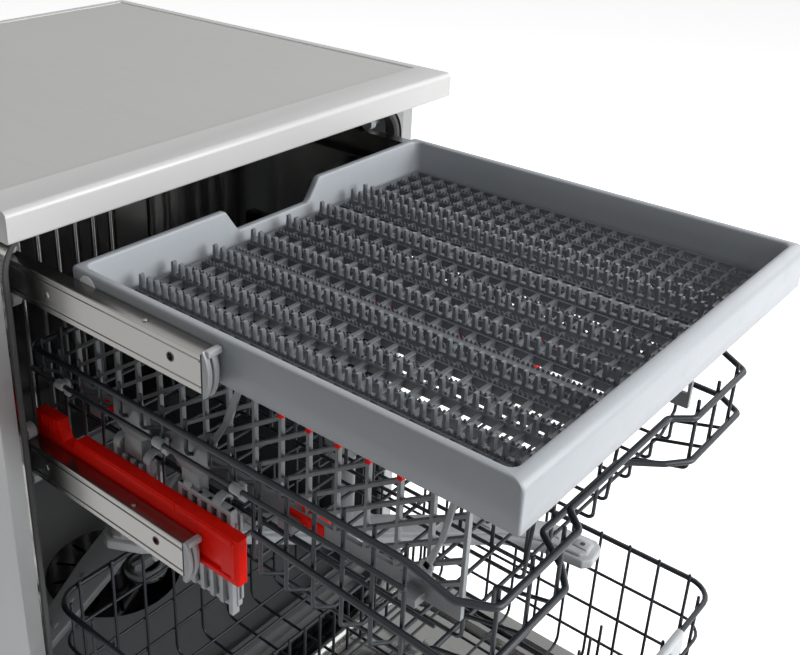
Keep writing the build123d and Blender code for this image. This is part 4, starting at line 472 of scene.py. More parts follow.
class Workshop:
    """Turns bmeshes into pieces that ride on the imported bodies."""

    WELD_METRES = 2e-6
    FLAT_DEGREES = 0.6
    SHARP_DEGREES = 32.0
    SHADE_DEGREES = 40.0

    def __init__(self, record: dict, nodes: dict[str, bpy.types.Object], finishes: Finishes) -> None:
        """Remembers the frame.

        Args:
            record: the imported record.
            nodes: the CAD nodes' objects.
            finishes: the finishes' materials.
        """
        self.nodes, self.finishes = nodes, finishes
        self.slots = {part["node"]: part["material_slot"] for part in record["subparts"]}
        self.homes = {node: body for body, names in record["behaviour"]["bodies"].items() for node in names}

    def piece(self, name: str, mesh: BMesh, body: str, slot: str, replaced: Sequence[str] = (),
              finish: Finish | None = None) -> bpy.types.Object:
        """Makes a piece from a bmesh and frees the bmesh.

        Args:
            name: the piece's name.
            mesh: its shape, in metres, in the row frame.
            body: the CAD body that it rides on.
            slot: the record's material slot.
            replaced: CAD nodes that it stands for.
            finish: another finish than the slot's.

        Returns:
            The new object.
        """
        data = bpy.data.meshes.new(name)
        mesh.to_mesh(data)
        mesh.free()
        data.materials.append(self.finishes.of(finish or SLOT_FINISHES[slot]))
        made = bpy.data.objects.new(name, data)
        bpy.context.scene.collection.objects.link(made)
        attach(made, body)
        if replaced:
            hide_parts(*replaced)
        LOG.info("%s: %d faces, on %s", name, len(data.polygons), body)
        return made

    def stand_in(self, name: str, mesh: BMesh, *nodes: str, finish: Finish | None = None) -> bpy.types.Object:
        """Makes a piece that stands for CAD nodes, on the first one's body and in its slot."""
        return self.piece(name, mesh, self.homes[nodes[0]], self.slots[nodes[0]], nodes, finish)

    def dress_nodes(self) -> None:
        """Gives every CAD node the finish of its slot."""
        for name, node in self.nodes.items():
            node.data.materials.clear()
            node.data.materials.append(self.finishes.of(SLOT_FINISHES[self.slots[name]]))

    def soften(self, name: str, width: float, segments: int = 2,
               within: tuple[Point, Point] | None = None) -> bpy.types.Object:
        """Stands for a CAD node with a copy whose sharp edges are rounded.

        Args:
            name: the CAD node.
            width: the rounding's width in millimetres.
            segments: steps of the rounding.
            within: two corners, in millimetres; only edges between them are rounded.

        Returns:
            The new piece.
        """
        mesh = bmesh.new()
        mesh.from_mesh(self.nodes[name].data)
        bmesh.ops.remove_doubles(mesh, verts=mesh.verts, dist=self.WELD_METRES)
        bmesh.ops.dissolve_limit(mesh, angle_limit=math.radians(self.FLAT_DEGREES), verts=mesh.verts,
                                 edges=mesh.edges, use_dissolve_boundaries=False, delimit={"NORMAL"})
        limit = math.radians(self.SHARP_DEGREES)
        sharp = [e for e in mesh.edges if len(e.link_faces) == 2 and e.calc_face_angle() > limit]
        if within:
            low, high = (metres(corner) for corner in within)
            sharp = [e for e in sharp if all(low[i] <= v.co[i] <= high[i] for v in e.verts for i in range(3))]
        bevel(mesh, sharp, width, segments)
        shade(mesh, self.SHADE_DEGREES)
        return self.stand_in(f"{name}_rounded", mesh, name)


class WireBender:
    """Bends round wires, all into one bmesh."""

    WELD_METRES = 1e-6
    TIP_REACH = 0.55
    TIP_NARROWING = 0.7
    STRAIGHT_RADIANS = 1e-4
    BEND_SHARE = 0.49
    STEP_DEGREES = 18.0

    def __init__(self, sides: int = 8) -> None:
        """Starts with no wire; each wire gets that many faces round it."""
        self.mesh, self.sides = bmesh.new(), sides

    def _step(self, ring: list[BMEdge], centre: Vector, move: Vector, scale: float = 1.0) -> list[BMEdge]:
        """Draws a ring of edges on, then scales it about its centre.

        Args:
            ring: the ring.
            centre: its middle, before the move.
            move: how far it is drawn.
            scale: how much wider it gets.

        Returns:
            The new ring.
        """
        made = bmesh.ops.extrude_edge_only(self.mesh, edges=ring)["geom"]
        points = vertices(made)
        bmesh.ops.translate(self.mesh, verts=points, vec=move)
        if scale != 1.0:
            place = Matrix.Translation(-(centre + move))
            bmesh.ops.scale(self.mesh, verts=points, vec=(scale, scale, scale), space=place)
        return [item for item in made if isinstance(item, BMEdge) and all(v in points for v in item.verts)]

    def bend(self, route: Sequence[Sequence[float]], radius: float, corner: float = 6.0,
             closed: bool = False) -> None:
        """Bends one wire along a route.

        Args:
            route: its corners, in millimetres.
            radius: half its thickness.
            corner: radius of its bends.
            closed: whether it is a loop.
        """
        points = [metres(p) for p in route]
        if closed:
            middle = (points[0] + points[-1]) / 2
            points = [middle, *points, middle]
        thick, curve = radius * MM, corner * MM
        heading = (points[1] - points[0]).normalized()
        turn = heading.to_track_quat("Z", "Y").to_matrix().to_4x4()
        tip = 0.0 if closed else self.TIP_REACH
        narrow, reach = 1.0 - tip * self.TIP_NARROWING, heading * thick * tip
        around = bmesh.ops.create_circle(self.mesh, cap_ends=not closed, segments=self.sides,
                                         radius=thick * narrow,
                                         matrix=Matrix.Translation(points[0]) @ turn)["verts"]
        ring = list({e for v in around for e in v.link_edges})
        here = points[0]
        if tip:
            ring, here = self._step(ring, here, reach, 1.0 / narrow), here + reach
        for before, at, after in zip(points, points[1:], points[2:]):
            onward = (after - at).normalized()
            angle = heading.angle(onward)
            if angle < self.STRAIGHT_RADIANS:
                continue
            room = self.BEND_SHARE * min((at - before).length, (after - at).length)
            back = min(curve * math.tan(angle / 2), room)
            bent = back / math.tan(angle / 2)
            axis = heading.cross(onward).normalized()
            start = at - heading * back
            ring = self._step(ring, here, start - here)
            centre = start + axis.cross(heading) * bent
            steps = max(2, math.ceil(math.degrees(angle) / self.STEP_DEGREES))
            last = bmesh.ops.spin(self.mesh, geom=ring, cent=centre, axis=axis, angle=angle,
                                  steps=steps, use_duplicate=False)["geom_last"]
            ring = [item for item in last if isinstance(item, BMEdge)]
            heading, here = onward, at + onward * back
        end, reach = points[-1], heading * thick * tip
        ring = self._step(ring, here, end - here - reach)
        if tip:
            bmesh.ops.contextual_create(self.mesh, geom=self._step(ring, end - reach, reach, narrow))

    def finished(self) -> BMesh:
        """The wires' bmesh, with its doubles merged and its normals outwards.

        Returns:
            The bmesh.
        """
        bmesh.ops.remove_doubles(self.mesh, verts=self.mesh.verts, dist=self.WELD_METRES)
        bmesh.ops.recalc_face_normals(self.mesh, faces=self.mesh.faces)
        for face in self.mesh.faces:
            face.smooth = len(face.verts) == 4
        return self.mesh


class Direction(Enum):
    """An axis that an outline is drawn out along."""

    X = 0
    Y = 1
    Z = 2

    def place(self, first: float, second: float, along: float) -> Point:
        """The point with two values on the other axes, in order, and one along this axis.

        Args:
            first: its place on the first of the other axes.
            second: its place on the second of them.
            along: its place on this axis.

        Returns:
            The point.
        """
        values = [first, second]
        values.insert(self.value, along)
        return tuple(values)

    def turn(self) -> Matrix:
        """The rotation that lays an upright form along this axis."""
        return (Matrix.Rotation(math.pi / 2, 3, "Y"), Matrix.Rotation(-math.pi / 2, 3, "X"),
                Matrix.Identity(3))[self.value]


class Mould:
    """Gathers small solids in one bmesh; sizes in millimetres."""

    SHARP_RADIANS = 0.4
    SHADE_DEGREES = 38.0

    def __init__(self) -> None:
        """Starts empty."""
        self.mesh = bmesh.new()

    def _round(self, points: Sequence[BMVert], edge: float, segments: int) -> None:
        """Rounds the sharp edges between some points.

        Args:
            points: the points.
            edge: radius of the edges; none are rounded at 0.
            segments: steps of the rounding.
        """
        if edge > 0.0:
            chosen = {e for v in points for e in v.link_edges if e.calc_face_angle(0.0) > self.SHARP_RADIANS}
            bevel(self.mesh, list(chosen), edge, segments)

    def _cube(self, size: Vector, centre: Vector) -> list[BMVert]:
        """Adds a plain box.

        Args:
            size: its size along each axis, in metres.
            centre: its middle, in metres.

        Returns:
            Its corners.
        """
        points = bmesh.ops.create_cube(self.mesh, size=1.0)["verts"]
        bmesh.ops.scale(self.mesh, verts=points, vec=size)
        bmesh.ops.translate(self.mesh, verts=points, vec=centre)
        return points

    def block(self, low: Point, high: Point, edge: float = 0.0, segments: int = 2) -> None:
        """Adds a block between two corners, with its edges rounded to a radius in some steps."""
        near, far = metres(low), metres(high)
        self._round(self._cube(far - near, (near + far) / 2), edge, segments)

    def peg(self, foot: Point, size: Point, taper: float) -> None:
        """Adds a small upright peg that narrows upwards.

        Args:
            foot: the middle of its foot.
            size: its width, depth and height.
            taper: the top's share of the foot.
        """
        middle = metres((foot[0], foot[1], foot[2] + size[2] / 2))
        top = [v for v in self._cube(metres(size), middle) if v.co.z > middle.z]
        bmesh.ops.scale(self.mesh, verts=top, vec=(taper, taper, 1.0),
                        space=Matrix.Translation(-metres(foot)))

    def plate(self, outline: Sequence[Corner], along: Direction, start: float, end: float,
              edge: float = 0.0, segments: int = 2) -> None:
        """Adds an outline drawn out along an axis.

        Args:
            outline: its corners, on the two other axes.
            along: the axis.
            start: where it starts on the axis.
            end: where it ends.
            edge: radius of its edges.
            segments: steps of the rounding.
        """
        corners = [self.mesh.verts.new(metres(along.place(a, b, start))) for a, b in outline]
        face = self.mesh.faces.new(corners)
        far = vertices(bmesh.ops.extrude_face_region(self.mesh, geom=[face])["geom"])
        bmesh.ops.translate(self.mesh, verts=far, vec=metres(along.place(0.0, 0.0, end - start)))
        self._round(corners + far, edge, segments)

    def disc(self, centre: Point, along: Direction, radius: float, depth: float, edge: float = 0.0,
             sides: int = 24, segments: int = 2) -> None:
        """Adds a disc or a pin.

        Args:
            centre: its middle.
            along: its axis.
            radius: its radius.
            depth: its length on the axis.
            edge: radius of its edges.
            sides: faces round it.
            segments: steps of the rounding.
        """
        points = bmesh.ops.create_cone(self.mesh, cap_ends=True, segments=sides, radius1=radius * MM,
                                       radius2=radius * MM, depth=depth * MM)["verts"]
        bmesh.ops.rotate(self.mesh, verts=points, matrix=along.turn())
        bmesh.ops.translate(self.mesh, verts=points, vec=metres(centre))
        self._round(points, edge, segments)

    def _doubled(self, everything: list) -> list[BMVert]:
        """Duplicates some geometry and gives back the new points."""
        return vertices(bmesh.ops.duplicate(self.mesh, geom=everything)["geom"])

    def _everything(self) -> list:
        """All the geometry so far."""
        return self.mesh.verts[:] + self.mesh.edges[:] + self.mesh.faces[:]

    def copies(self, moves: Iterable[Point]) -> None:
        """Adds a copy of everything so far at each of some moves.

        Args:
            moves: how far each copy stands from the first.
        """
        everything = self._everything()
        for move in moves:
            bmesh.ops.translate(self.mesh, verts=self._doubled(everything), vec=metres(move))

    def absorb(self, other: "Mould") -> None:
        """Takes over another mould's solids and frees it.

        Args:
            other: the other mould.
        """
        data = bpy.data.meshes.new("taken_over")
        other.mesh.to_mesh(data)
        other.mesh.free()
        self.mesh.from_mesh(data)
        bpy.data.meshes.remove(data)

    def mirrored(self) -> None:
        """Adds the mirror image on the other side of the machine's middle."""
        bmesh.ops.scale(self.mesh, verts=self._doubled(self._everything()), vec=(-1.0, 1.0, 1.0))

    def finished(self, angle: float = SHADE_DEGREES) -> BMesh:
        """The solids' bmesh, shaded, with its normals outwards.

        Args:
            angle: edges that turn by more than this stay sharp.

        Returns:
            The bmesh.
        """
        bmesh.ops.recalc_face_normals(self.mesh, faces=self.mesh.faces)
        shade(self.mesh, angle)
        return self.mesh

    def pair(self, angle: float = SHADE_DEGREES) -> BMesh:
        """The solids with their mirror images, shaded at that angle."""
        self.mirrored()
        return self.finished(angle)


@dataclass
class MiddleRack:
    """The middle rack's wires and its folding tines; sizes in millimetres."""

    rim_half: float = 236.0
    rear: float = -214.0
    lobe_y: float = -715.0
    lobe_side_y: float = -690.0
    rim_z: float = 674.0
    dip_z: float = 655.0
    dip_end: float = -652.0
    rim_bend: float = 9.0
    floor_z: float = 557.8
    floor_half: float = 206.0
    floor_slope_z: float = 574.0
    step_half: float = 210.2
    step_z: float = 638.0
    bar_front: float = -500.0
    hoop_z: float = 605.0
    hoop_recess: float = -667.0
    hoop_end: Corner = (-504.0, 616.0)
    stub: float = 14.0
    girdles: Corner = (600.0, 650.0)
    outer_girdle_off: float = 0.6
    outer_girdle_end: float = -655.0
    outer_girdle_wire: float = 2.3
    middle_wires: tuple[float, ...] = (-40.0, 40.0)
    recess_wire: float = 72.0
    lobe_wires: tuple[float, ...] = (118.0, 162.0, 206.0)
    lobe_foot: Corner = (592.0, 578.0)
    front_wire: float = -650.0
    pitch: float = 28.0
    nub: float = 10.0
    wire: float = 1.8
    rim_wire: float = 3.0
    tine_margin: float = 14.0
    tine_pitch: float = 34.0
    tine_bend: float = 15.0

    def rim(self) -> BMesh:
        """The thick wire round the rack's top, which dips to two lobes at the front, and the hoop below it.

        Returns:
            The two wires.
        """
        bender, half, low = WireBender(12), self.rim_half, self.hoop_z
        rim = [(86.0, -697.0, self.dip_z), (103.0, self.lobe_y, self.dip_z), (213.0, self.lobe_y, self.dip_z),
               (229.0, self.lobe_side_y, self.dip_z + 2.0), (half, self.dip_end, self.rim_z),
               (half, self.rear, self.rim_z)]
        hoop = [(66.0, self.hoop_recess, low), (91.0, -699.0, low), (112.0, self.lobe_y, low),
                (220.0, self.lobe_y, low), (half, self.lobe_side_y, low + 2.0), (half, *self.hoop_end)]
        bender.bend(mirror(rim) + rim, self.rim_wire, self.rim_bend, closed=True)
        bender.bend(mirror(hoop) + hoop, self.rim_wire, self.rim_bend)
        return bender.finished()

    def wires(self) -> BMesh:
        """Walls and floor: U-shaped wires both ways, with long wires along them.

        Returns:
            The wires.
        """
        bender, inset = WireBender(), self.rim_wire + self.wire
        wall, back, recess = self.rim_half - inset, self.rear - inset, self.hoop_recess + inset
        top, under, stub = self.rim_z + self.nub, self.floor_z - 2 * self.wire, self.hoop_z + self.stub
        low, high = self.girdles
        for y in spread(self.front_wire, self.rear - 10.0, self.pitch):
            foot = [(wall, y, self.floor_slope_z), (self.floor_half, y, self.floor_z)]
            if y >= self.bar_front:
                foot = [(wall, y, high), (self.step_half, y, self.step_z), (self.step_half, y, self.floor_z)]
            half = [(wall, y, top), *foot]
            bender.bend(half + mirror(half), self.wire)
        for x in self.middle_wires:
            bender.bend([(x, back, top), (x, back, under), (x, recess, under), (x, recess, stub)], self.wire)
        lobe, crest, behind = self.lobe_y + inset, self.dip_z + self.nub, recess + 4.0
        upper, lower = self.lobe_foot
        for side in (-1, 1):
            for place in (self.recess_wire, *self.lobe_wires):
                x = side * place
                front = [(x, lobe, crest), (x, lobe, upper), (x, behind, lower)]
                if place == self.recess_wire:
                    front = [(x, recess, stub)]
                bender.bend(front + [(x, behind, under), (x, back, under), (x, back, top)], self.wire)
            outside = side * (self.rim_half + self.outer_girdle_off)
            bender.bend([(outside, self.rear + 5.0, high), (outside, self.outer_girdle_end, high)],
                        self.outer_girdle_wire)
            inside = side * (self.step_half - 2 * self.wire)
            bender.bend([(inside, back, low), (inside, recess, low)], self.wire)
        for z in self.girdles:
            y = back + 2 * self.wire
            bender.bend([(-wall, y, z), (wall, y, z)], self.wire)
        return bender.finished()

    def tines(self, box: tuple[Vector, Vector]) -> BMesh:
        """A folding row of hoops on one long wire, in the place of the CAD's row.

        Args:
            box: the CAD node's corners, in metres.

        Returns:
            The row.
        """
        bender = WireBender()
        low, high = (Vector(corner) / MM for corner in box)
        x, base, top = (low.x + high.x) / 2, low.z + self.wire, high.z - self.wire
        bender.bend([(x, low.y, base), (x, high.y, base)], self.wire)
        feet = spread(low.y + self.tine_margin, high.y - self.tine_margin, self.tine_pitch)
        for near, far in zip(feet[::2], feet[1::2]):
            bender.bend([(x, near, base), (x, near, top), (x, far, top), (x, far, base)], self.wire,
                        self.tine_bend)
        return bender.finished()

    def build(self, shop: Workshop) -> None:
        """Makes the rack's pieces.

        Args:
            shop: the workshop that makes pieces.
        """
        shop.stand_in("middle_rack_rim", self.rim(), "rack_rim")
        shop.stand_in("middle_rack_wires", self.wires(), "rack_walls", "rack_floor")
        shop.stand_in("middle_rack_tines", self.tines(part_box("rack_tines")), "rack_tines")


@dataclass
class LowerRack:
    """The lower rack's wires, wheel carriers and folding plate rows; sizes in millimetres."""

    half: float = 244.0
    rear: float = -214.0
    front: float = -722.0
    rim_z: float = 372.0
    nub: float = 9.0
    floor_z: float = 189.8
    wire: float = 1.8
    wire_bend: float = 14.0
    rim_wire: float = 3.0
    rim_bend: float = 28.0
    margin: float = 26.0
    cross_pitch: float = 35.0
    long_pitch: float = 42.0
    girdles: tuple[float, ...] = (222.0, 268.0, 320.0)
    girdle_bend: float = 26.0
    wheels: tuple[float, ...] = (-675.0, -236.0)
    carrier: tuple[Point, Point] = ((247.7, -15.0, 159.0), (252.9, 15.0, 217.0))
    lug: tuple[Point, Point] = ((236.7, -13.0, 194.0), (248.7, 13.0, 216.0))
    axle: Corner = (257.5, 167.2)
    carrier_edge: float = 1.4
    tine_margin: float = 12.0
    tine_pitch: float = 26.0

    def wires(self) -> BMesh:
        """Rim, walls and floor.

        Returns:
            The wires.
        """
        bender, top, inset = WireBender(), self.rim_z + self.nub, self.rim_wire + self.wire
        loop = [(self.half, self.rear), (self.half, self.front),
                (-self.half, self.front), (-self.half, self.rear)]
        bender.bend([(x, y, self.rim_z) for x, y in loop], self.rim_wire, self.rim_bend, closed=True)
        wall, floor, under = self.half - inset, self.floor_z, self.floor_z - 2 * self.wire
        for y in spread(self.front + self.margin, self.rear - self.margin, self.cross_pitch):
            bender.bend([(-wall, y, top), (-wall, y, floor), (wall, y, floor), (wall, y, top)], self.wire,
                        self.wire_bend)
        near, far = self.front + inset, self.rear - inset
        for x in spread(self.margin - wall, wall - self.margin, self.long_pitch):
            bender.bend([(x, near, top), (x, near, under), (x, far, under), (x, far, top)], self.wire,
                        self.wire_bend)
        around = 2 * self.wire - 0.4
        for z in self.girdles:
            ring = [(math.copysign(wall + around, x), near - around if y == self.front else far + around, z)
                    for x, y in loop]
            bender.bend(ring, self.wire, self.girdle_bend, closed=True)
        return bender.finished()

    def carriers(self) -> BMesh:
        """The wheels' plates, lugs and axles.

        Returns:
            The carriers on both sides.
        """
        mould = Mould()
        for wheel in self.wheels:
            for low, high in (self.carrier, self.lug):
                mould.block((low[0], wheel + low[1], low[2]), (high[0], wheel + high[1], high[2]),
                            self.carrier_edge, 3)
            mould.disc((self.axle[0], wheel, self.axle[1]), Direction.X, 4.0, 13.0, self.carrier_edge, 20, 3)
        return mould.pair(180.0)

    def plate_row(self, box: tuple[Vector, Vector]) -> BMesh:
        """A folding row of plate tines, in the place of the CAD's row.

        Args:
            box: the CAD node's corners, in metres.

        Returns:
            The row.
        """
        bender = WireBender()
        low, high = (Vector(corner) / MM for corner in box)
        y, base = (low.y + high.y) / 2, low.z + self.wire
        bender.bend([(low.x, y, base), (high.x, y, base)], self.wire)
        for x in spread(low.x + self.tine_margin, high.x - self.tine_margin, self.tine_pitch):
            bender.bend([(x, y, base), (x, y, high.z)], self.wire)
        return bender.finished()

    def build(self, shop: Workshop) -> None:
        """Makes the rack's pieces.

        Args:
            shop: the workshop that makes pieces.
        """
        shop.stand_in("lower_rack_wires", self.wires(), "basket_walls", "basket_floor")
        shop.piece("lower_rack_wheel_carriers", self.carriers(), "basket", "light_plastic")
        for row in ("front", "rear"):
            node = f"plate_tines_{row}"
            shop.stand_in(f"lower_rack_{row}_tines", self.plate_row(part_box(node)), node)


@dataclass
class CutleryTray:
    """The cutlery tray's rounded shell and its grid floor with combs; sizes in millimetres."""

    outer_half: float = 240.0
    outer_front: float = -738.0
    outer_rear: float = -295.0
    wall: float = 41.0
    side_wall: float = 8.0
    front_wall: float = 13.0
    lean: float = 4.0
    rim: float = 2.4
    edge: float = 2.2
    inner_corner: float = 7.0
    front_roll: float = 9.0
    roll_shares: tuple[float, ...] = (0.15, 0.35, 0.6, 1.0)
    dip: float = 24.0
    dip_half: float = 67.0
    dip_slope: float = 17.0
    dip_corners: tuple[float, ...] = (75.0, 69.0, 66.0, 62.0, 53.0, 49.0, 45.0)
    half: float = 228.6
    front: float = -721.6
    rear: float = -311.4
    floor_z: float = 743.0
    depth: float = 8.0
    frame: float = 4.0
    side_pitch: float = 19.6
    length_pitch: float = 17.7
    combs: tuple[float, ...] = (-184.0, -147.0, -96.0, -46.0, 4.0, 54.0, 104.0, 124.0)
    wide_bars: tuple[float, ...] = (-72.0, 76.0)
    wide_bar_half: float = 4.5
    cross_bar_half: float = 2.3
    long_bar_half: float = 1.9
    comb_half: float = 2.4
    fin_pitch: float = 9.9
    fin_top: float = 764.5
    tooth: Point = (2.4, 3.6, 3.4)
    tooth_pitch: float = 4.4
    roller: Corner = (-309.0, 757.0)
    shoe: Corner = (-457.0, -433.0)
    button: Point = (239.6, -317.0, 770.0)

    def _ring(self, mesh: BMesh, side: float, front: float, share: float, drop: float,
              front_drop: float, corner: float) -> list[BMEdge]:
        """One ring of the wall's profile.

        Args:
            mesh: the bmesh that it goes into.
            side: how far it lies inside the side and rear faces.
            front: how far it lies inside the front face.
            share: its height's share of the wall's.
            drop: how far it lies below that height, at the sides and the rear.
            front_drop: the same at the front.
            corner: radius of its front corners.

        Returns:
            The ring's edges.
        """
        half, near, far = self.outer_half - side, self.outer_front + front, self.outer_rear - side
        back = corner + 2.0
        turn = arc((half - corner, near + corner), corner, -90.0, 0.0, 4)
        outline = [(x, y, 1.0 - step / 4) for step, (x, y) in enumerate(turn)]
        roll = max(0.0, self.front_roll - front - corner)
        outline += [(half, near + corner + roll * part, 0.0) for part in self.roll_shares]
        outline += [(x, y, 0.0) for x, y in arc((half - back, far - back), back, 0.0, 90.0, 5)]
        outline += [(x, far, 0.0) for x in self.dip_corners]
        corners = []
        for x, y, ahead in outline + mirror(outline):
            dip = min(1.0, max(0.0, (self.dip_half - abs(x)) / self.dip_slope))
            if y <= self.outer_rear - 30.0:
                dip = 0.0
            short = max(0.0, self.front_roll - (y - self.outer_front))
            sunk = self.front_roll - math.sqrt(max(0.0, self.front_roll ** 2 - short ** 2))
            level = share * (self.wall - self.dip * dip)
            height = (level - drop - sunk * share) * (1.0 - ahead) + (level - front_drop) * ahead
            corners.append(mesh.verts.new(metres((x, y, self.floor_z + height))))
        return [mesh.edges.new((one, other)) for one, other in zip(corners, corners[1:] + corners[:1])]

    def _profile(self) -> list[tuple[float, ...]]:
        """The wall's profile: what _ring takes for each ring, up the outer face and down the inner one.

        Returns:
            The rings' values.
        """
        edge, side, front = self.edge, self.side_wall, self.front_wall
        rings = [(0.8, 0.8, 0.0, 0.0, 0.0, 2.0), (0.0, 0.0, 0.0, -1.0, -1.0, edge),
                 (0.0, 0.0, 0.45, 0.0, 0.0, edge)]
        for angle in (0.0, 22.5, 45.0, 67.5, 90.0):
            inward, upward = 1.0 - math.cos(math.radians(angle)), 1.0 - math.sin(math.radians(angle))
            rings.append((self.rim * inward, self.front_roll * inward, 1.0, self.rim * upward,
                          self.front_roll * upward, edge))
        for angle in (90.0, 60.0, 30.0, 0.0):
            inset = edge * math.cos(math.radians(angle)) - edge
            fall = edge * (1.0 - math.sin(math.radians(angle)))
            rings.append((side + inset, front + inset, 1.0, fall, fall, self.inner_corner - inset))
        taper = self.wall * math.tan(math.radians(self.lean))
        for share in (0.5, 0.0):
            inset = taper * (1.0 - share)
            rings.append((side + inset, front + inset, share, 0.0, 0.0, self.inner_corner))
        return rings

    def shell(self) -> BMesh:
        """The tray's wall with its rounded rim, upright front and dipped rear, and its guides.

        Returns:
            The shell.
        """
        mould, fittings, (y, rail) = Mould(), Mould(), self.roller
        made = [self._ring(mould.mesh, *values) for values in self._profile()]
        for one, other in zip(made, made[1:] + made[:1]):
            bmesh.ops.bridge_loops(mould.mesh, edges=one + other)
        fittings.disc((246.7, y, rail), Direction.X, 4.0, 13.6, 0.4, 20)
        fittings.disc((242.0, y, rail), Direction.X, 8.0, 4.2, 0.6, 24)
        near, far = self.shoe
        fittings.block((240.0, near, rail - 4.0), (244.4, far, rail + 4.0), 1.0)
        fittings.block((244.2, near, rail - 15.0), (253.0, far, rail + 15.0), 3.0, 3)
        fittings.mirrored()
        mould.absorb(fittings)
        return mould.finished(50.0)

    def bosses(self) -> BMesh:
        """Light buttons on the shell's sides, over the rollers' pins.

        Returns:
            The buttons on both sides.
        """
        mould = Mould()
        mould.disc(self.button, Direction.X, 11.0, 2.4, 0.8, 28)
        return mould.pair()

    def grid(self) -> BMesh:
        """The frame, the bars both ways and the saw-toothed edges.

        Returns:
            The grid.
        """
        mould, across, along = Mould(), Mould(), Mould()
        half, low, top = self.half, self.floor_z, self.floor_z + self.depth
        for left in (-half, half - self.frame):
            mould.block((left, self.front, low), (left + self.frame, self.rear, top), 0.6)
        for near in (self.front, self.rear - self.frame):
            mould.block((3.5 - half, near, low), (half - 3.5, near + self.frame, top), 0.6)
        near, far = self.front + 3.0, self.rear - 3.0
        for x in self.wide_bars:
            mould.block((x - self.wide_bar_half, near, low), (x + self.wide_bar_half, far, top + 0.6), 0.8)
        first, *others = spread(self.front + 2.0, self.rear - 2.0, self.length_pitch)[1:-1]
        across.block((3.0 - half, first - self.cross_bar_half, low),
                     (half - 3.0, first + self.cross_bar_half, top - 0.5), 0.6, 1)
        across.copies([(0.0, y - first, 0.0) for y in others])
        first, *others = spread(2.0 - half, half - 2.0, self.side_pitch)[1:-1]
        along.block((first - self.long_bar_half, near, low), (first + self.long_bar_half, far, top), 0.5, 1)
        for y in spread(self.front + 8.0, self.rear - 8.0, self.tooth_pitch):
            along.peg((first, y, top - 0.3), self.tooth, 0.3)
        along.copies([(x - first, 0.0, 0.0) for x in others])
        mould.absorb(across)
        mould.absorb(along)
        return mould.finished()

    def fins(self) -> BMesh:
        """Rows of tall fins that keep the handles apart.

        Returns:
            The rows.
        """
        mould, foot, first = Mould(), self.floor_z + self.depth - 1.0, self.combs[0]
        mould.block((first - self.comb_half, self.front + 4.0, self.floor_z),
                    (first + self.comb_half, self.rear - 4.0, foot + 2.5), 0.5, 1)
        for y in spread(self.front + 10.0, self.rear - 7.0, self.fin_pitch):
            mould.peg((first, y, foot), (5.0, 3.2, self.fin_top - foot), 0.8)
            mould.peg((first + 2.8, y, foot), (1.4, 1.4, self.fin_top - foot - 2.0), 0.8)
        mould.copies([(x - first, 0.0, 0.0) for x in self.combs[1:]])
        return mould.finished()

    def build(self, shop: Workshop) -> None:
        """Makes the tray's pieces.

        Args:
            shop: the workshop that makes pieces.
        """
        shop.stand_in("cutlery_tray_shell", self.shell(), "cutlery_tray")
        shop.piece("cutlery_tray_bosses", self.bosses(), "tray", "white_plastic")
        shop.stand_in("tray_floor_grid", self.grid(), "tray_grid")
        # the fins share the grid's plastic but get its lighter copy, a painted highlight
        shop.piece("tray_comb_fins", self.fins(), "tray", "grid_plastic", finish=Finish.LIT_FIN)


@dataclass(frozen=True)
class RailPair:
    """The two rails of one level, and where their front ends and lower faces are, in millimetres."""

    level: str
    cap_node: str
    body: str
    front: float
    low: float


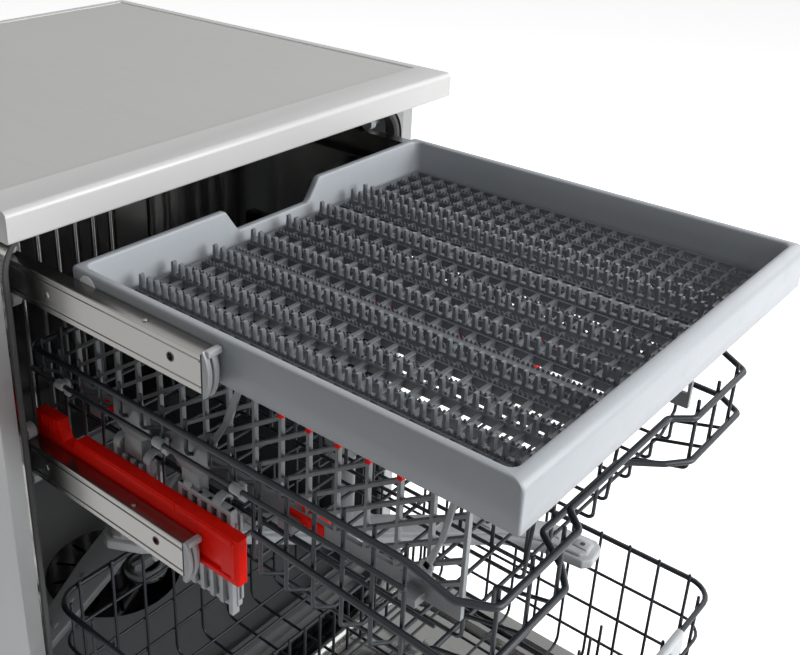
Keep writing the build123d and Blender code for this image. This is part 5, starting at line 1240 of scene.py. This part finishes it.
@dataclass
class SlideRails:
    """The drawn-out rails' beads, painted shade in their holes, and end caps; sizes in millimetres."""

    outer: float = 256.0
    height: float = 34.0
    length: float = 484.0
    bead: float = 0.8
    bead_rows: tuple[Corner, ...] = ((27.5, 1.3), (5.0, 0.9))
    dimple: Corner = (192.0, 17.0)
    screw: Corner = (70.0, 7.0)
    hole: Corner = (34.0, 18.7)
    hole_radius: float = 3.7
    pairs: tuple[RailPair, ...] = (RailPair("upper", "tray_rail_caps", "upper_rails", -472.0, 740.0),
                                   RailPair("lower", "rack_rail_caps", "lower_rails", -441.0, 547.0))

    def details(self, pair: RailPair) -> BMesh:
        """Two folded beads along the rail's face, a dimple in it and a screw on top.

        Args:
            pair: the rails.

        Returns:
            The details on both sides.
        """
        mould, face, front, top = Mould(), self.outer, pair.front, pair.low + self.height
        skin, ridge = face - 0.6, face + self.bead
        for rise, half in self.bead_rows:
            z = pair.low + rise
            outline = [(skin, z - half), (ridge, z - half + 0.5), (ridge, z + half - 0.5), (skin, z + half)]
            mould.plate(outline, Direction.Y, front + 1.0, front + self.length - 1.0)
        along, rise = self.dimple
        mould.disc((face + 0.2, front + along, pair.low + rise), Direction.X, 3.6, 1.0, 0.4, 20)
        along, inset = self.screw
        x, y = face - inset, front + along
        mould.disc((x, y, top + 0.5), Direction.Z, 2.4, 1.6, 0.5, 16)
        mould.block((x - 1.6, y - 0.4, top + 1.0), (x + 1.6, y + 0.4, top + 1.6))
        return mould.pair()

    def shades(self, pair: RailPair) -> BMesh:
        """Dark rings just inside the rails' locating holes: painted shade for the holes' dark insides.

        Args:
            pair: the rails.

        Returns:
            The painted-shade rings on both sides.
        """
        bender, (along, rise) = WireBender(6), self.hole
        for side in (-1, 1):
            loop = [(side * (self.outer - 0.2), pair.front + along + y, pair.low + rise + z)
                    for y, z in arc((0.0, 0.0), self.hole_radius, 0.0, 330.0, 11)]
            bender.bend(loop, 0.7, 1.0, closed=True)
        return bender.finished()

    def _flange(self, pair: RailPair, base: float, reach: float, rise: float, back: float) -> list[Corner]:
        """A cap flange's outline: an arc that bows forwards from its base, then a straight back.

        Args:
            pair: the rails.
            base: where the arc's ends stand, ahead of or behind the rail's front.
            reach: how far the arc bows ahead of its ends.
            rise: how far the flange stands over the rail.
            back: where its straight back stands, as for base.

        Returns:
            The corners.
        """
        tall, middle = self.height / 2 + rise, pair.low + self.height / 2
        radius = (tall * tall + reach * reach) / (2 * reach)
        half_turn = math.degrees(math.asin(tall / radius))
        centre = (pair.front + base - reach + radius, middle)
        rear = pair.front + back
        return (arc(centre, radius, 180.0 + half_turn, 180.0 - half_turn, 12)
                + [(rear, middle + tall), (rear, middle - tall)])

    def caps(self, pair: RailPair) -> BMesh:
        """End caps: two rounded flanges with a gap between them, on a plug with a latch on top.

        Args:
            pair: the rails.

        Returns:
            The caps on both sides.
        """
        mould, face, front, low, top = Mould(), self.outer, pair.front, pair.low, pair.low + self.height
        outer, inner = self._flange(pair, -3.6, 5.8, 3.4, -2.4), self._flange(pair, -3.6, 6.4, 3.4, -2.4)
        mould.plate(outer, Direction.X, face - 3.6, face + 1.0, 0.8, 3)
        mould.plate(inner, Direction.X, face - 10.0, face - 5.4, 0.8, 3)
        mould.plate(self._flange(pair, -1.0, 4.2, -0.6, 3.0), Direction.X, face - 15.0, face - 2.0, 0.6)
        mould.block((face - 15.6, front - 8.0, top - 2.0), (face - 1.4, front - 2.4, top + 3.6), 0.9)
        mould.block((face - 13.6, front - 1.0, low + 2.0), (face - 2.0, front + 8.0, top - 2.0), 0.5)
        return mould.pair()

    def build(self, shop: Workshop) -> None:
        """Makes the rails' pieces.

        Args:
            shop: the workshop that makes pieces.
        """
        for pair in self.pairs:
            shop.piece(f"{pair.level}_rail_beads", self.details(pair), pair.body, "rail_steel")
            # dark rings in the rail holes are painted shade
            shop.piece(f"{pair.level}_rail_hole_painted_shade", self.shades(pair), pair.body, "dark_plastic")
            shop.stand_in(f"{pair.level}_rail_end_caps", self.caps(pair), pair.cap_node)


@dataclass
class RackCarriage:
    """The middle rack's side bars and height adjusters; sizes in millimetres."""

    outer: float = 239.0
    bar_box: tuple[Point, Point] = ((-240.0, -491.0, 552.0), (240.0, -214.0, 608.0))
    borders: tuple[tuple[float, float, float, float], ...] = (
        (-414.0, -281.0, 592.0, 597.5), (-484.0, -418.0, 592.0, 597.5), (-484.0, -418.0, 556.0, 559.0),
        (-486.5, -482.0, 558.0, 596.0))
    grips: tuple[float, ...] = (-242.0, -236.0, -230.0, -224.0)
    adjuster_outer: float = 226.6
    adjuster_inner: float = 212.2
    groups: tuple[Corner, ...] = ((-368.0, -316.0), (-470.0, -404.0))
    cross_pieces: tuple[float, ...] = (508.0, 530.0, 566.0)
    slat_pitch: float = 11.0
    slat_half: float = 2.6
    foot: float = 501.0
    top: float = 611.5

    def bar_details(self) -> BMesh:
        """Raised borders, a lock tongue and a grip on the outer faces of the bars.

        Returns:
            The details on both sides.
        """
        mould, face = Mould(), self.outer
        sunk = face - 0.4
        for near, far, low, high in self.borders:
            mould.block((sunk, near, low), (face + 0.9, far, high), 0.5)
        mould.block((face - 10.0, -246.0, 605.0), (face - 2.0, -220.0, 608.4), 0.9)
        for y in self.grips:
            mould.block((sunk, y - 1.2, 592.0), (face + 0.8, y + 1.2, 604.0), 0.4)
        return mould.pair()

    def _slats(self, mould: Mould, low: float, high: float, tall: bool) -> None:
        """Adds one group's slats, the end ones thicker and longer.

        Args:
            mould: the mould that they go into.
            low: the group's front end.
            high: its rear end.
            tall: whether the slats between the ends are as tall as they are.
        """
        face, half = self.adjuster_outer, self.slat_half
        slats = spread(low + 3.0, high - 3.0, self.slat_pitch)
        for y in slats:
            at_end = y in (slats[0], slats[-1])
            rise = self.top if at_end or tall else self.top - 9.0
            drop, thick = (self.foot, 8.0) if at_end else (self.foot + 7.0, 4.5)
            mould.block((face - thick, y - half, drop), (face, y + half, rise), 0.7)
            mould.block((face - 7.0, y - 4.0, drop + 8.0), (face - 5.0, y + 4.0, rise - 14.0), 0.4, 1)

    def _hook(self, mould: Mould, y: float) -> None:
        """Adds a hook over the rack's wire.

        Args:
            mould: the mould that it goes into.
            y: its middle.
        """
        centre = (self.adjuster_outer - 8.0, self.top - 2.0)
        outline = arc(centre, 8.4, -20.0, 180.0, 9) + arc(centre, 5.6, 180.0, -20.0, 9)
        mould.plate(outline, Direction.Y, y - 4.5, y + 4.5, 0.6, 2)

    def adjusters(self) -> BMesh:
        """Slatted slides with a back plate, a cross-piece and hooks over the rack's wires.

        Returns:
            The slides on both sides.
        """
        mould, face, back, top = Mould(), self.adjuster_outer, self.adjuster_inner, self.top
        for (low, high), tall in zip(self.groups, (False, True)):
            mould.block((back, low + 1.0, 512.0), (back + 3.0, high - 1.0, 602.0), 0.6)
            for z in self.cross_pieces:
                mould.block((back + 1.0, low + 2.0, z - 3.0), (face - 4.0, high - 2.0, z + 3.0), 0.7)
            self._slats(mould, low, high, tall)
            if tall:
                mould.block((face - 8.0, low + 1.0, top - 5.5), (face + 0.2, high - 1.0, top), 0.8)
                mould.block((face - 11.0, low + 4.0, top - 12.0), (face - 6.0, high - 4.0, top - 5.0), 0.6)
            for y in (low + 18.0, high - 12.0) if tall else (low + 5.0, high - 5.0):
                self._hook(mould, y)
        return mould.pair()

    def build(self, shop: Workshop) -> None:
        """Makes the carriage's pieces.

        Args:
            shop: the workshop that makes pieces.
        """
        shop.soften("carriage_bars", 1.4, 3, self.bar_box)
        shop.piece("side_bar_details", self.bar_details(), "carriage", "red_plastic")
        shop.stand_in("height_adjuster_slats", self.adjusters(), "height_adjusters")


@dataclass
class CupShelves:
    """The standing cup shelves with their hinges, tips and blades; sizes in millimetres."""

    outer: float = 196.0
    inner: float = 188.0
    thickness: float = 5.0
    foot: float = 606.0
    top: float = 712.0
    hinges: tuple[float, ...] = (-286.0, -526.0)
    tips: tuple[float, ...] = (-495.7, -525.5, -555.3, -585.0, -614.8)
    blades: tuple[Corner, ...] = ((-416.0, 39.0), (-644.0, 23.0))
    pivot_z: float = 641.0

    def _sided(self, side: int, low: float, high: float) -> Corner:
        """Two places across, in order, on one side of the machine."""
        return (low, high) if side > 0 else (-high, -low)

    def red(self, side: int) -> BMesh:
        """Hinge saddles on the foot bar and caps on some of the tips.

        Args:
            side: -1 for the left shelf, 1 for the right one.

        Returns:
            The fittings.
        """
        mould, foot, top = Mould(), self.foot, self.top
        left, right = self._sided(side, self.inner - 1.4, self.outer + 1.4)
        for y in self.hinges:
            mould.block((left, y - 19.0, foot + 1.0), (right, y + 19.0, foot + 15.0), 2.2, 3)
            mould.block((left + 2.5, y - 7.0, foot + 13.0), (right - 2.5, y + 7.0, foot + 22.0), 1.6, 3)
        left, right = self._sided(side, self.inner - 0.6, self.outer + 0.6)
        for y in self.tips:
            mould.block((left, y - 2.3, top - 12.0), (right, y + 2.3, top - 0.4), 1.0, 2)
        for y, lean in self.blades:
            mould.block((left, y - lean - 2.0, top - 6.0), (right, y - lean + 6.0, top - 0.4), 1.2, 2)
        return mould.finished()

    def blade(self, side: int) -> BMesh:
        """Light arms that lean forwards along the lattice.

        Args:
            side: -1 for the left shelf, 1 for the right one.

        Returns:
            The arms.
        """
        mould, top = Mould(), self.top
        left, right = self._sided(side, self.outer - 0.4, self.outer + 3.2)
        for y, lean in self.blades:
            outline = [(y + 3.0, 640.0), (y - 4.0, 638.0), (y - lean * 0.56, 668.0), (y - lean * 0.64, 670.0),
                       (y - lean, top - 2.0), (y - lean + 5.0, top - 0.6),
                       (y - lean * 0.46, 674.0), (y - lean * 0.43, 669.0)]
            mould.plate(outline, Direction.X, left, right, 0.9)
            mould.disc((side * (self.outer + 1.4), y - 1.0, self.pivot_z), Direction.X, 6.0, 3.6, 0.8)
        return mould.finished()

    def _thin(self, shelf: bpy.types.Object) -> None:
        """Draws a shelf's inner faces outwards, down to the thickness.

        Args:
            shelf: the shelf.
        """
        for vertex in shelf.data.vertices:
            across = abs(vertex.co.x) / MM
            if self.inner - 1.0 < across < self.outer:
                share = (across - self.outer) / (self.inner - self.outer)
                vertex.co.x = math.copysign((self.outer - share * self.thickness) * MM, vertex.co.x)

    def build(self, shop: Workshop) -> None:
        """Makes both shelves' pieces.

        Args:
            shop: the workshop that makes pieces.
        """
        for side, word in ((-1, "left"), (1, "right")):
            body = f"shelf_{word}"
            self._thin(shop.soften(f"cup_shelf_{word}", 0.45, 1))
            shop.piece(f"shelf_{word}_red_fittings", self.red(side), body, "red_plastic")
            shop.piece(f"shelf_{word}_arms", self.blade(side), body, "light_plastic")


@dataclass
class RackFittings:
    """Clips and guides on the middle rack's wires; sizes in millimetres."""

    wire_x: float = 236.6
    wire_z: float = 650.0
    clips: tuple[float, ...] = (-258.0, -394.5, -488.0)
    guides: tuple[Corner, ...] = ((-441.0, -395.0), (-366.0, -318.0))
    leaf_x: Corner = (221.5, 224.5)
    leaf_z: tuple[float, float, float] = (626.0, 634.0, 662.0)
    leaf_corner: float = 7.0

    def clip(self) -> BMesh:
        """Clips round the wire along the rack's sides.

        Returns:
            The clips on both sides.
        """
        mould, x, z = Mould(), self.wire_x, self.wire_z
        for y in self.clips:
            mould.disc((x, y, z), Direction.Y, 4.6, 11.0, 1.0, 16)
            mould.block((x - 8.0, y - 4.0, z - 14.0), (x - 4.4, y + 4.0, z + 3.0), 1.0)
        return mould.pair()

    def leaves(self) -> BMesh:
        """Guide leaves with two round upper corners, each on a short post.

        Returns:
            The leaves on both sides.
        """
        mould, radius, (foot, shoulder, top) = Mould(), self.leaf_corner, self.leaf_z
        for near, far in self.guides:
            inner = (near + 12.0, far - 12.0)
            outline = (arc((far - radius, top - radius), radius, 0.0, 90.0, 5)
                       + arc((near + radius, top - radius), radius, 90.0, 180.0, 5)
                       + [(near, shoulder), (inner[0], foot), (inner[1], foot), (far, shoulder)])
            mould.plate(outline, Direction.X, *self.leaf_x, 0.8)
            mould.block((213.0, inner[0], 604.0), (224.0, inner[1], 630.0), 0.9)
        return mould.pair()

    def build(self, shop: Workshop) -> None:
        """Makes the fittings' pieces."""
        shop.piece("rack_wire_clips", self.clip(), "rack", "light_plastic")
        shop.piece("rack_guide_leaves", self.leaves(), "rack", "lattice_plastic")


@dataclass
class MiddleArm:
    """The middle spray arm, whose ends turn forwards and backwards; sizes in millimetres."""

    hub: Corner = (-12.0, -412.0)
    bottom: float = 430.0
    top: float = 446.0
    line: tuple[Corner, ...] = ((0.0, 0.0), (66.0, -74.0), (116.0, -124.0), (137.0, -168.0), (142.0, -214.0))
    rear_line: tuple[Corner, ...] = ((-66.0, 74.0), (-122.0, 116.0), (-150.0, 142.0), (-166.0, 172.0))
    half_width: float = 20.0
    ridge_inset: float = 4.5
    nose_reach: float = 0.4
    nose_share: float = 0.6
    nozzles: tuple[Corner, ...] = ((62.0, -70.0), (104.0, -114.0), (139.0, -176.0), (141.0, -206.0),
                                   (-62.0, 69.0), (-108.0, 105.0), (-157.0, 156.0))
    nozzle_half: Corner = (6.5, 8.0)

    def _outline(self, half_width: float, shorter: float) -> list[Corner]:
        """The arm's outline round both halves of its middle line.

        Args:
            half_width: how far it lies off the line.
            shorter: how much is taken off each end.

        Returns:
            The corners, round the hub.
        """
        run = [Vector(point) for point in (*reversed(self.rear_line), *self.line)]
        for end, beside in ((0, 1), (-1, -2)):
            run[end] = run[end] + (run[beside] - run[end]).normalized() * shorter
        left, right = [], []
        for index, point in enumerate(run):
            ahead = (run[min(index + 1, len(run) - 1)] - run[max(index - 1, 0)]).normalized()
            across = Vector((-ahead.y, ahead.x)) * half_width
            left.append(point + across)
            right.append(point - across)
        corners: list[Vector] = []
        for line, near, far in ((run, left, right), (run[::-1], right[::-1], left[::-1])):
            nose = line[-1] + (line[-1] - line[-2]).normalized() * half_width * self.nose_reach
            corners += near + [nose + (side[-1] - line[-1]) * self.nose_share for side in (near, far)]
        return [(self.hub[0] + point.x, self.hub[1] + point.y) for point in corners]

    def build(self, shop: Workshop) -> None:
        """Makes the arm and its nozzles.

        Args:
            shop: the workshop that makes pieces.
        """
        mould, holes, top, (wide, long) = Mould(), Mould(), self.top, self.nozzle_half
        mould.plate(self._outline(self.half_width, 0.0), Direction.Z, self.bottom, top - 5.0, 2.0, 3)
        ridge = self._outline(self.half_width - self.ridge_inset, 5.0)
        mould.plate(ridge, Direction.Z, top - 6.0, top - 1.5, 1.4, 2)
        mould.disc((*self.hub, (self.bottom + top) / 2), Direction.Z, 31.0, 15.0, 2.0, 40)
        for along, aside in self.nozzles:
            x, y = self.hub[0] + along, self.hub[1] + aside
            mould.block((x - wide, y - long, top - 3.0), (x + wide, y + long, top), 1.2, 2)
            # dark discs on the nozzles' tops are painted shade for the holes' dark insides
            holes.disc((x, y, top), Direction.Z, 2.6, 0.6, 0.0, 16)
        node = "middle_spray_arm"
        shop.stand_in("middle_spray_arm_shell", mould.finished(), node, finish=Finish.LIGHT)
        shop.piece("middle_spray_arm_nozzle_painted_shade", holes.finished(), shop.homes[node], "dark_plastic")


@dataclass
class BackPanel:
    """Screws round the back panel's edge; sizes in millimetres."""

    node: str = "back_panel"
    inset: float = 16.0
    pitch: float = 220.0

    def build(self, shop: Workshop) -> None:
        """Makes the screws.

        Args:
            shop: the workshop that makes pieces.
        """
        low, high = (Vector(corner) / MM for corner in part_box(self.node))
        mould = Mould()
        for x in (low.x + self.inset, high.x - self.inset):
            for z in spread(low.z + self.inset, high.z - self.inset, self.pitch):
                mould.disc((x, high.y + 0.6, z), Direction.Y, 4.6, 1.8, 0.5, 16)
        shop.piece("back_panel_screws", mould.finished(), shop.homes[self.node], shop.slots[self.node])


@dataclass
class Housing:
    """The fixed and the door's moulded and pressed parts, whose edges are rounded; widths in millimetres."""

    widths: dict[str, float] = field(default_factory=lambda: {
        "worktop_trim": 0.9, "control_panel": 1.6, "door_panel": 0.9, "door_liner": 1.6, "dispenser": 0.8,
        "dispenser_lid": 0.6, "basket_handle": 1.2, "plinth": 1.2, "base_tray": 1.2, "counterweight": 2.5,
        "lower_spray_arm": 1.6, "top_spray_arm": 1.6, "feed_duct": 1.5,
        "levelling_feet": 0.8, "inlet_valve": 1.0, "drain_outlet": 0.8, "sump": 1.2, "softener_tank": 2.0,
        "pumps": 1.2, "rack_feed_pipe": 1.0, "hinge_brackets": 0.5})

    def build(self, shop: Workshop) -> None:
        """Rounds the parts' edges."""
        for name, width in self.widths.items():
            shop.soften(name, width)


@dataclass
class PhotoCamera:
    """The photograph's camera, from its calibration."""

    place: Point = (-708.85, -983.12, 1163.51)
    yaw: float = 0.8522
    pitch: float = -0.4334
    roll: float = 0.0176
    focal_pixels: float = 1058.66
    centre: tuple[float, float] = (319.34, 262.61)
    sensor: float = 36.0
    clip: Corner = (0.05, 60.0)

    def build(self) -> None:
        """Creates the camera and makes it the scene's."""
        data = bpy.data.cameras.new("photo_camera")
        data.sensor_fit, data.sensor_width = "HORIZONTAL", self.sensor
        data.lens = self.focal_pixels / PHOTO_WIDTH * self.sensor
        data.shift_x = (PHOTO_WIDTH / 2 - self.centre[0]) / PHOTO_WIDTH
        data.shift_y = (self.centre[1] - PHOTO_HEIGHT / 2) / PHOTO_WIDTH
        data.clip_start, data.clip_end = self.clip
        camera = bpy.data.objects.new("photo_camera", data)
        forward = Vector((math.sin(self.yaw) * math.cos(self.pitch),
                          math.cos(self.yaw) * math.cos(self.pitch), math.sin(self.pitch)))
        right = Vector((math.cos(self.yaw), -math.sin(self.yaw), 0.0))
        up = right.cross(forward)
        turned_right = right * math.cos(self.roll) + up * math.sin(self.roll)
        turned_up = up * math.cos(self.roll) - right * math.sin(self.roll)
        axes = Matrix((turned_right, turned_up, -forward)).transposed().to_4x4()
        camera.matrix_world = Matrix.Translation(metres(self.place)) @ axes
        bpy.context.scene.collection.objects.link(camera)
        bpy.context.scene.camera = camera


@dataclass
class Studio:
    """A plain pale floor, a white surround and soft lamps; places and sizes in metres, powers in watts."""

    floor_size: float = 14.0
    floor_colour: Colour = (0.80, 0.80, 0.80)
    surround: float = 0.15
    floor_glow: float = 0.78
    lamps: tuple[tuple[str, Point, Point, float, float], ...] = (
        ("front_softbox", (0.8, -3.2, 1.75), (0.0, -0.3, 0.6), 2.2, 142.0),
        ("top_softbox", (0.1, -0.4, 3.1), (0.0, -0.2, 0.7), 2.4, 20.0),
        ("side_softbox", (2.6, -0.9, 1.7), (0.1, -0.4, 0.6), 1.6, 16.0),
        ("rear_softbox", (-0.6, 2.6, 2.0), (0.0, 0.2, 0.6), 1.8, 16.0))

    def build(self) -> None:
        """Makes the floor, the world and the lamps."""
        mesh = bmesh.new()
        bmesh.ops.create_grid(mesh, x_segments=1, y_segments=1, size=self.floor_size / 2)
        data = bpy.data.meshes.new("floor")
        mesh.to_mesh(data)
        mesh.free()
        floor = bpy.data.objects.new("floor", data)
        bpy.context.scene.collection.objects.link(floor)
        shader = Shader("floor_pale")
        shader.feed("Base Color", self.floor_colour)
        shader.feed("Roughness", 0.7)
        shader.feed("Specular IOR Level", 0.0)
        shader.feed("Emission Color", (1.0, 1.0, 1.0))
        seen = shader.tree.nodes.new("ShaderNodeLightPath")
        glow = (Socket(shader, seen.outputs["Is Camera Ray"]) + Socket(shader, seen.outputs["Is Glossy Ray"])
                + Socket(shader, seen.outputs["Is Transmission Ray"])).clamped(0.0, 1.0) * self.floor_glow
        shader.feed("Emission Strength", glow)
        data.materials.append(shader.material)
        self._world()
        for lamp in self.lamps:
            self._lamp(*lamp)

    def _world(self) -> None:
        """Makes a dim surround that the camera and the metal see as white."""
        world = bpy.data.worlds.new("surround")
        bpy.context.scene.world = world
        world.use_nodes = True
        tree = world.node_tree
        tree.nodes.clear()
        path = tree.nodes.new("ShaderNodeLightPath")
        share: bpy.types.NodeSocket = path.outputs["Is Camera Ray"]
        for name in ("Is Glossy Ray", "Is Transmission Ray"):
            either = tree.nodes.new("ShaderNodeMath")
            either.operation = "MAXIMUM"
            tree.links.new(share, either.inputs[0])
            tree.links.new(path.outputs[name], either.inputs[1])
            share = either.outputs[0]
        level = tree.nodes.new("ShaderNodeMapRange")
        level.inputs["To Min"].default_value = self.surround
        level.inputs["To Max"].default_value = 1.0
        background = tree.nodes.new("ShaderNodeBackground")
        background.inputs["Color"].default_value = (1.0, 1.0, 1.0, 1.0)
        output = tree.nodes.new("ShaderNodeOutputWorld")
        tree.links.new(share, level.inputs["Value"])
        tree.links.new(level.outputs["Result"], background.inputs["Strength"])
        tree.links.new(background.outputs["Background"], output.inputs["Surface"])

    def _lamp(self, name: str, place: Point, aim: Point, size: float, power: float) -> None:
        """Adds one square area lamp.

        Args:
            name: the lamp's name.
            place: where it hangs, in metres.
            aim: what it points at.
            size: the length of its side.
            power: watts.
        """
        data = bpy.data.lights.new(name, "AREA")
        data.size, data.energy = size, power
        lamp = bpy.data.objects.new(name, data)
        turn = (Vector(aim) - Vector(place)).to_track_quat("-Z", "Y").to_matrix().to_4x4()
        lamp.matrix_world = Matrix.Translation(place) @ turn
        bpy.context.scene.collection.objects.link(lamp)


def set_view() -> None:
    """Sets the view transform."""
    bpy.context.scene.view_settings.view_transform = "Standard"


def main() -> None:
    """Builds the scene in order."""
    logging.basicConfig(level=logging.INFO, format="%(name)s %(message)s")
    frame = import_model()
    PhotoCamera().build()
    set_view()
    Studio().build()
    workshop = Workshop(frame["record"], frame["nodes"], Finishes())
    workshop.dress_nodes()
    for assembly in (MiddleRack(), LowerRack(), CutleryTray(), SlideRails(), RackCarriage(), CupShelves(),
                     RackFittings(), MiddleArm(), BackPanel(), Housing()):
        assembly.build(workshop)


if __name__ == "__main__":
    main()
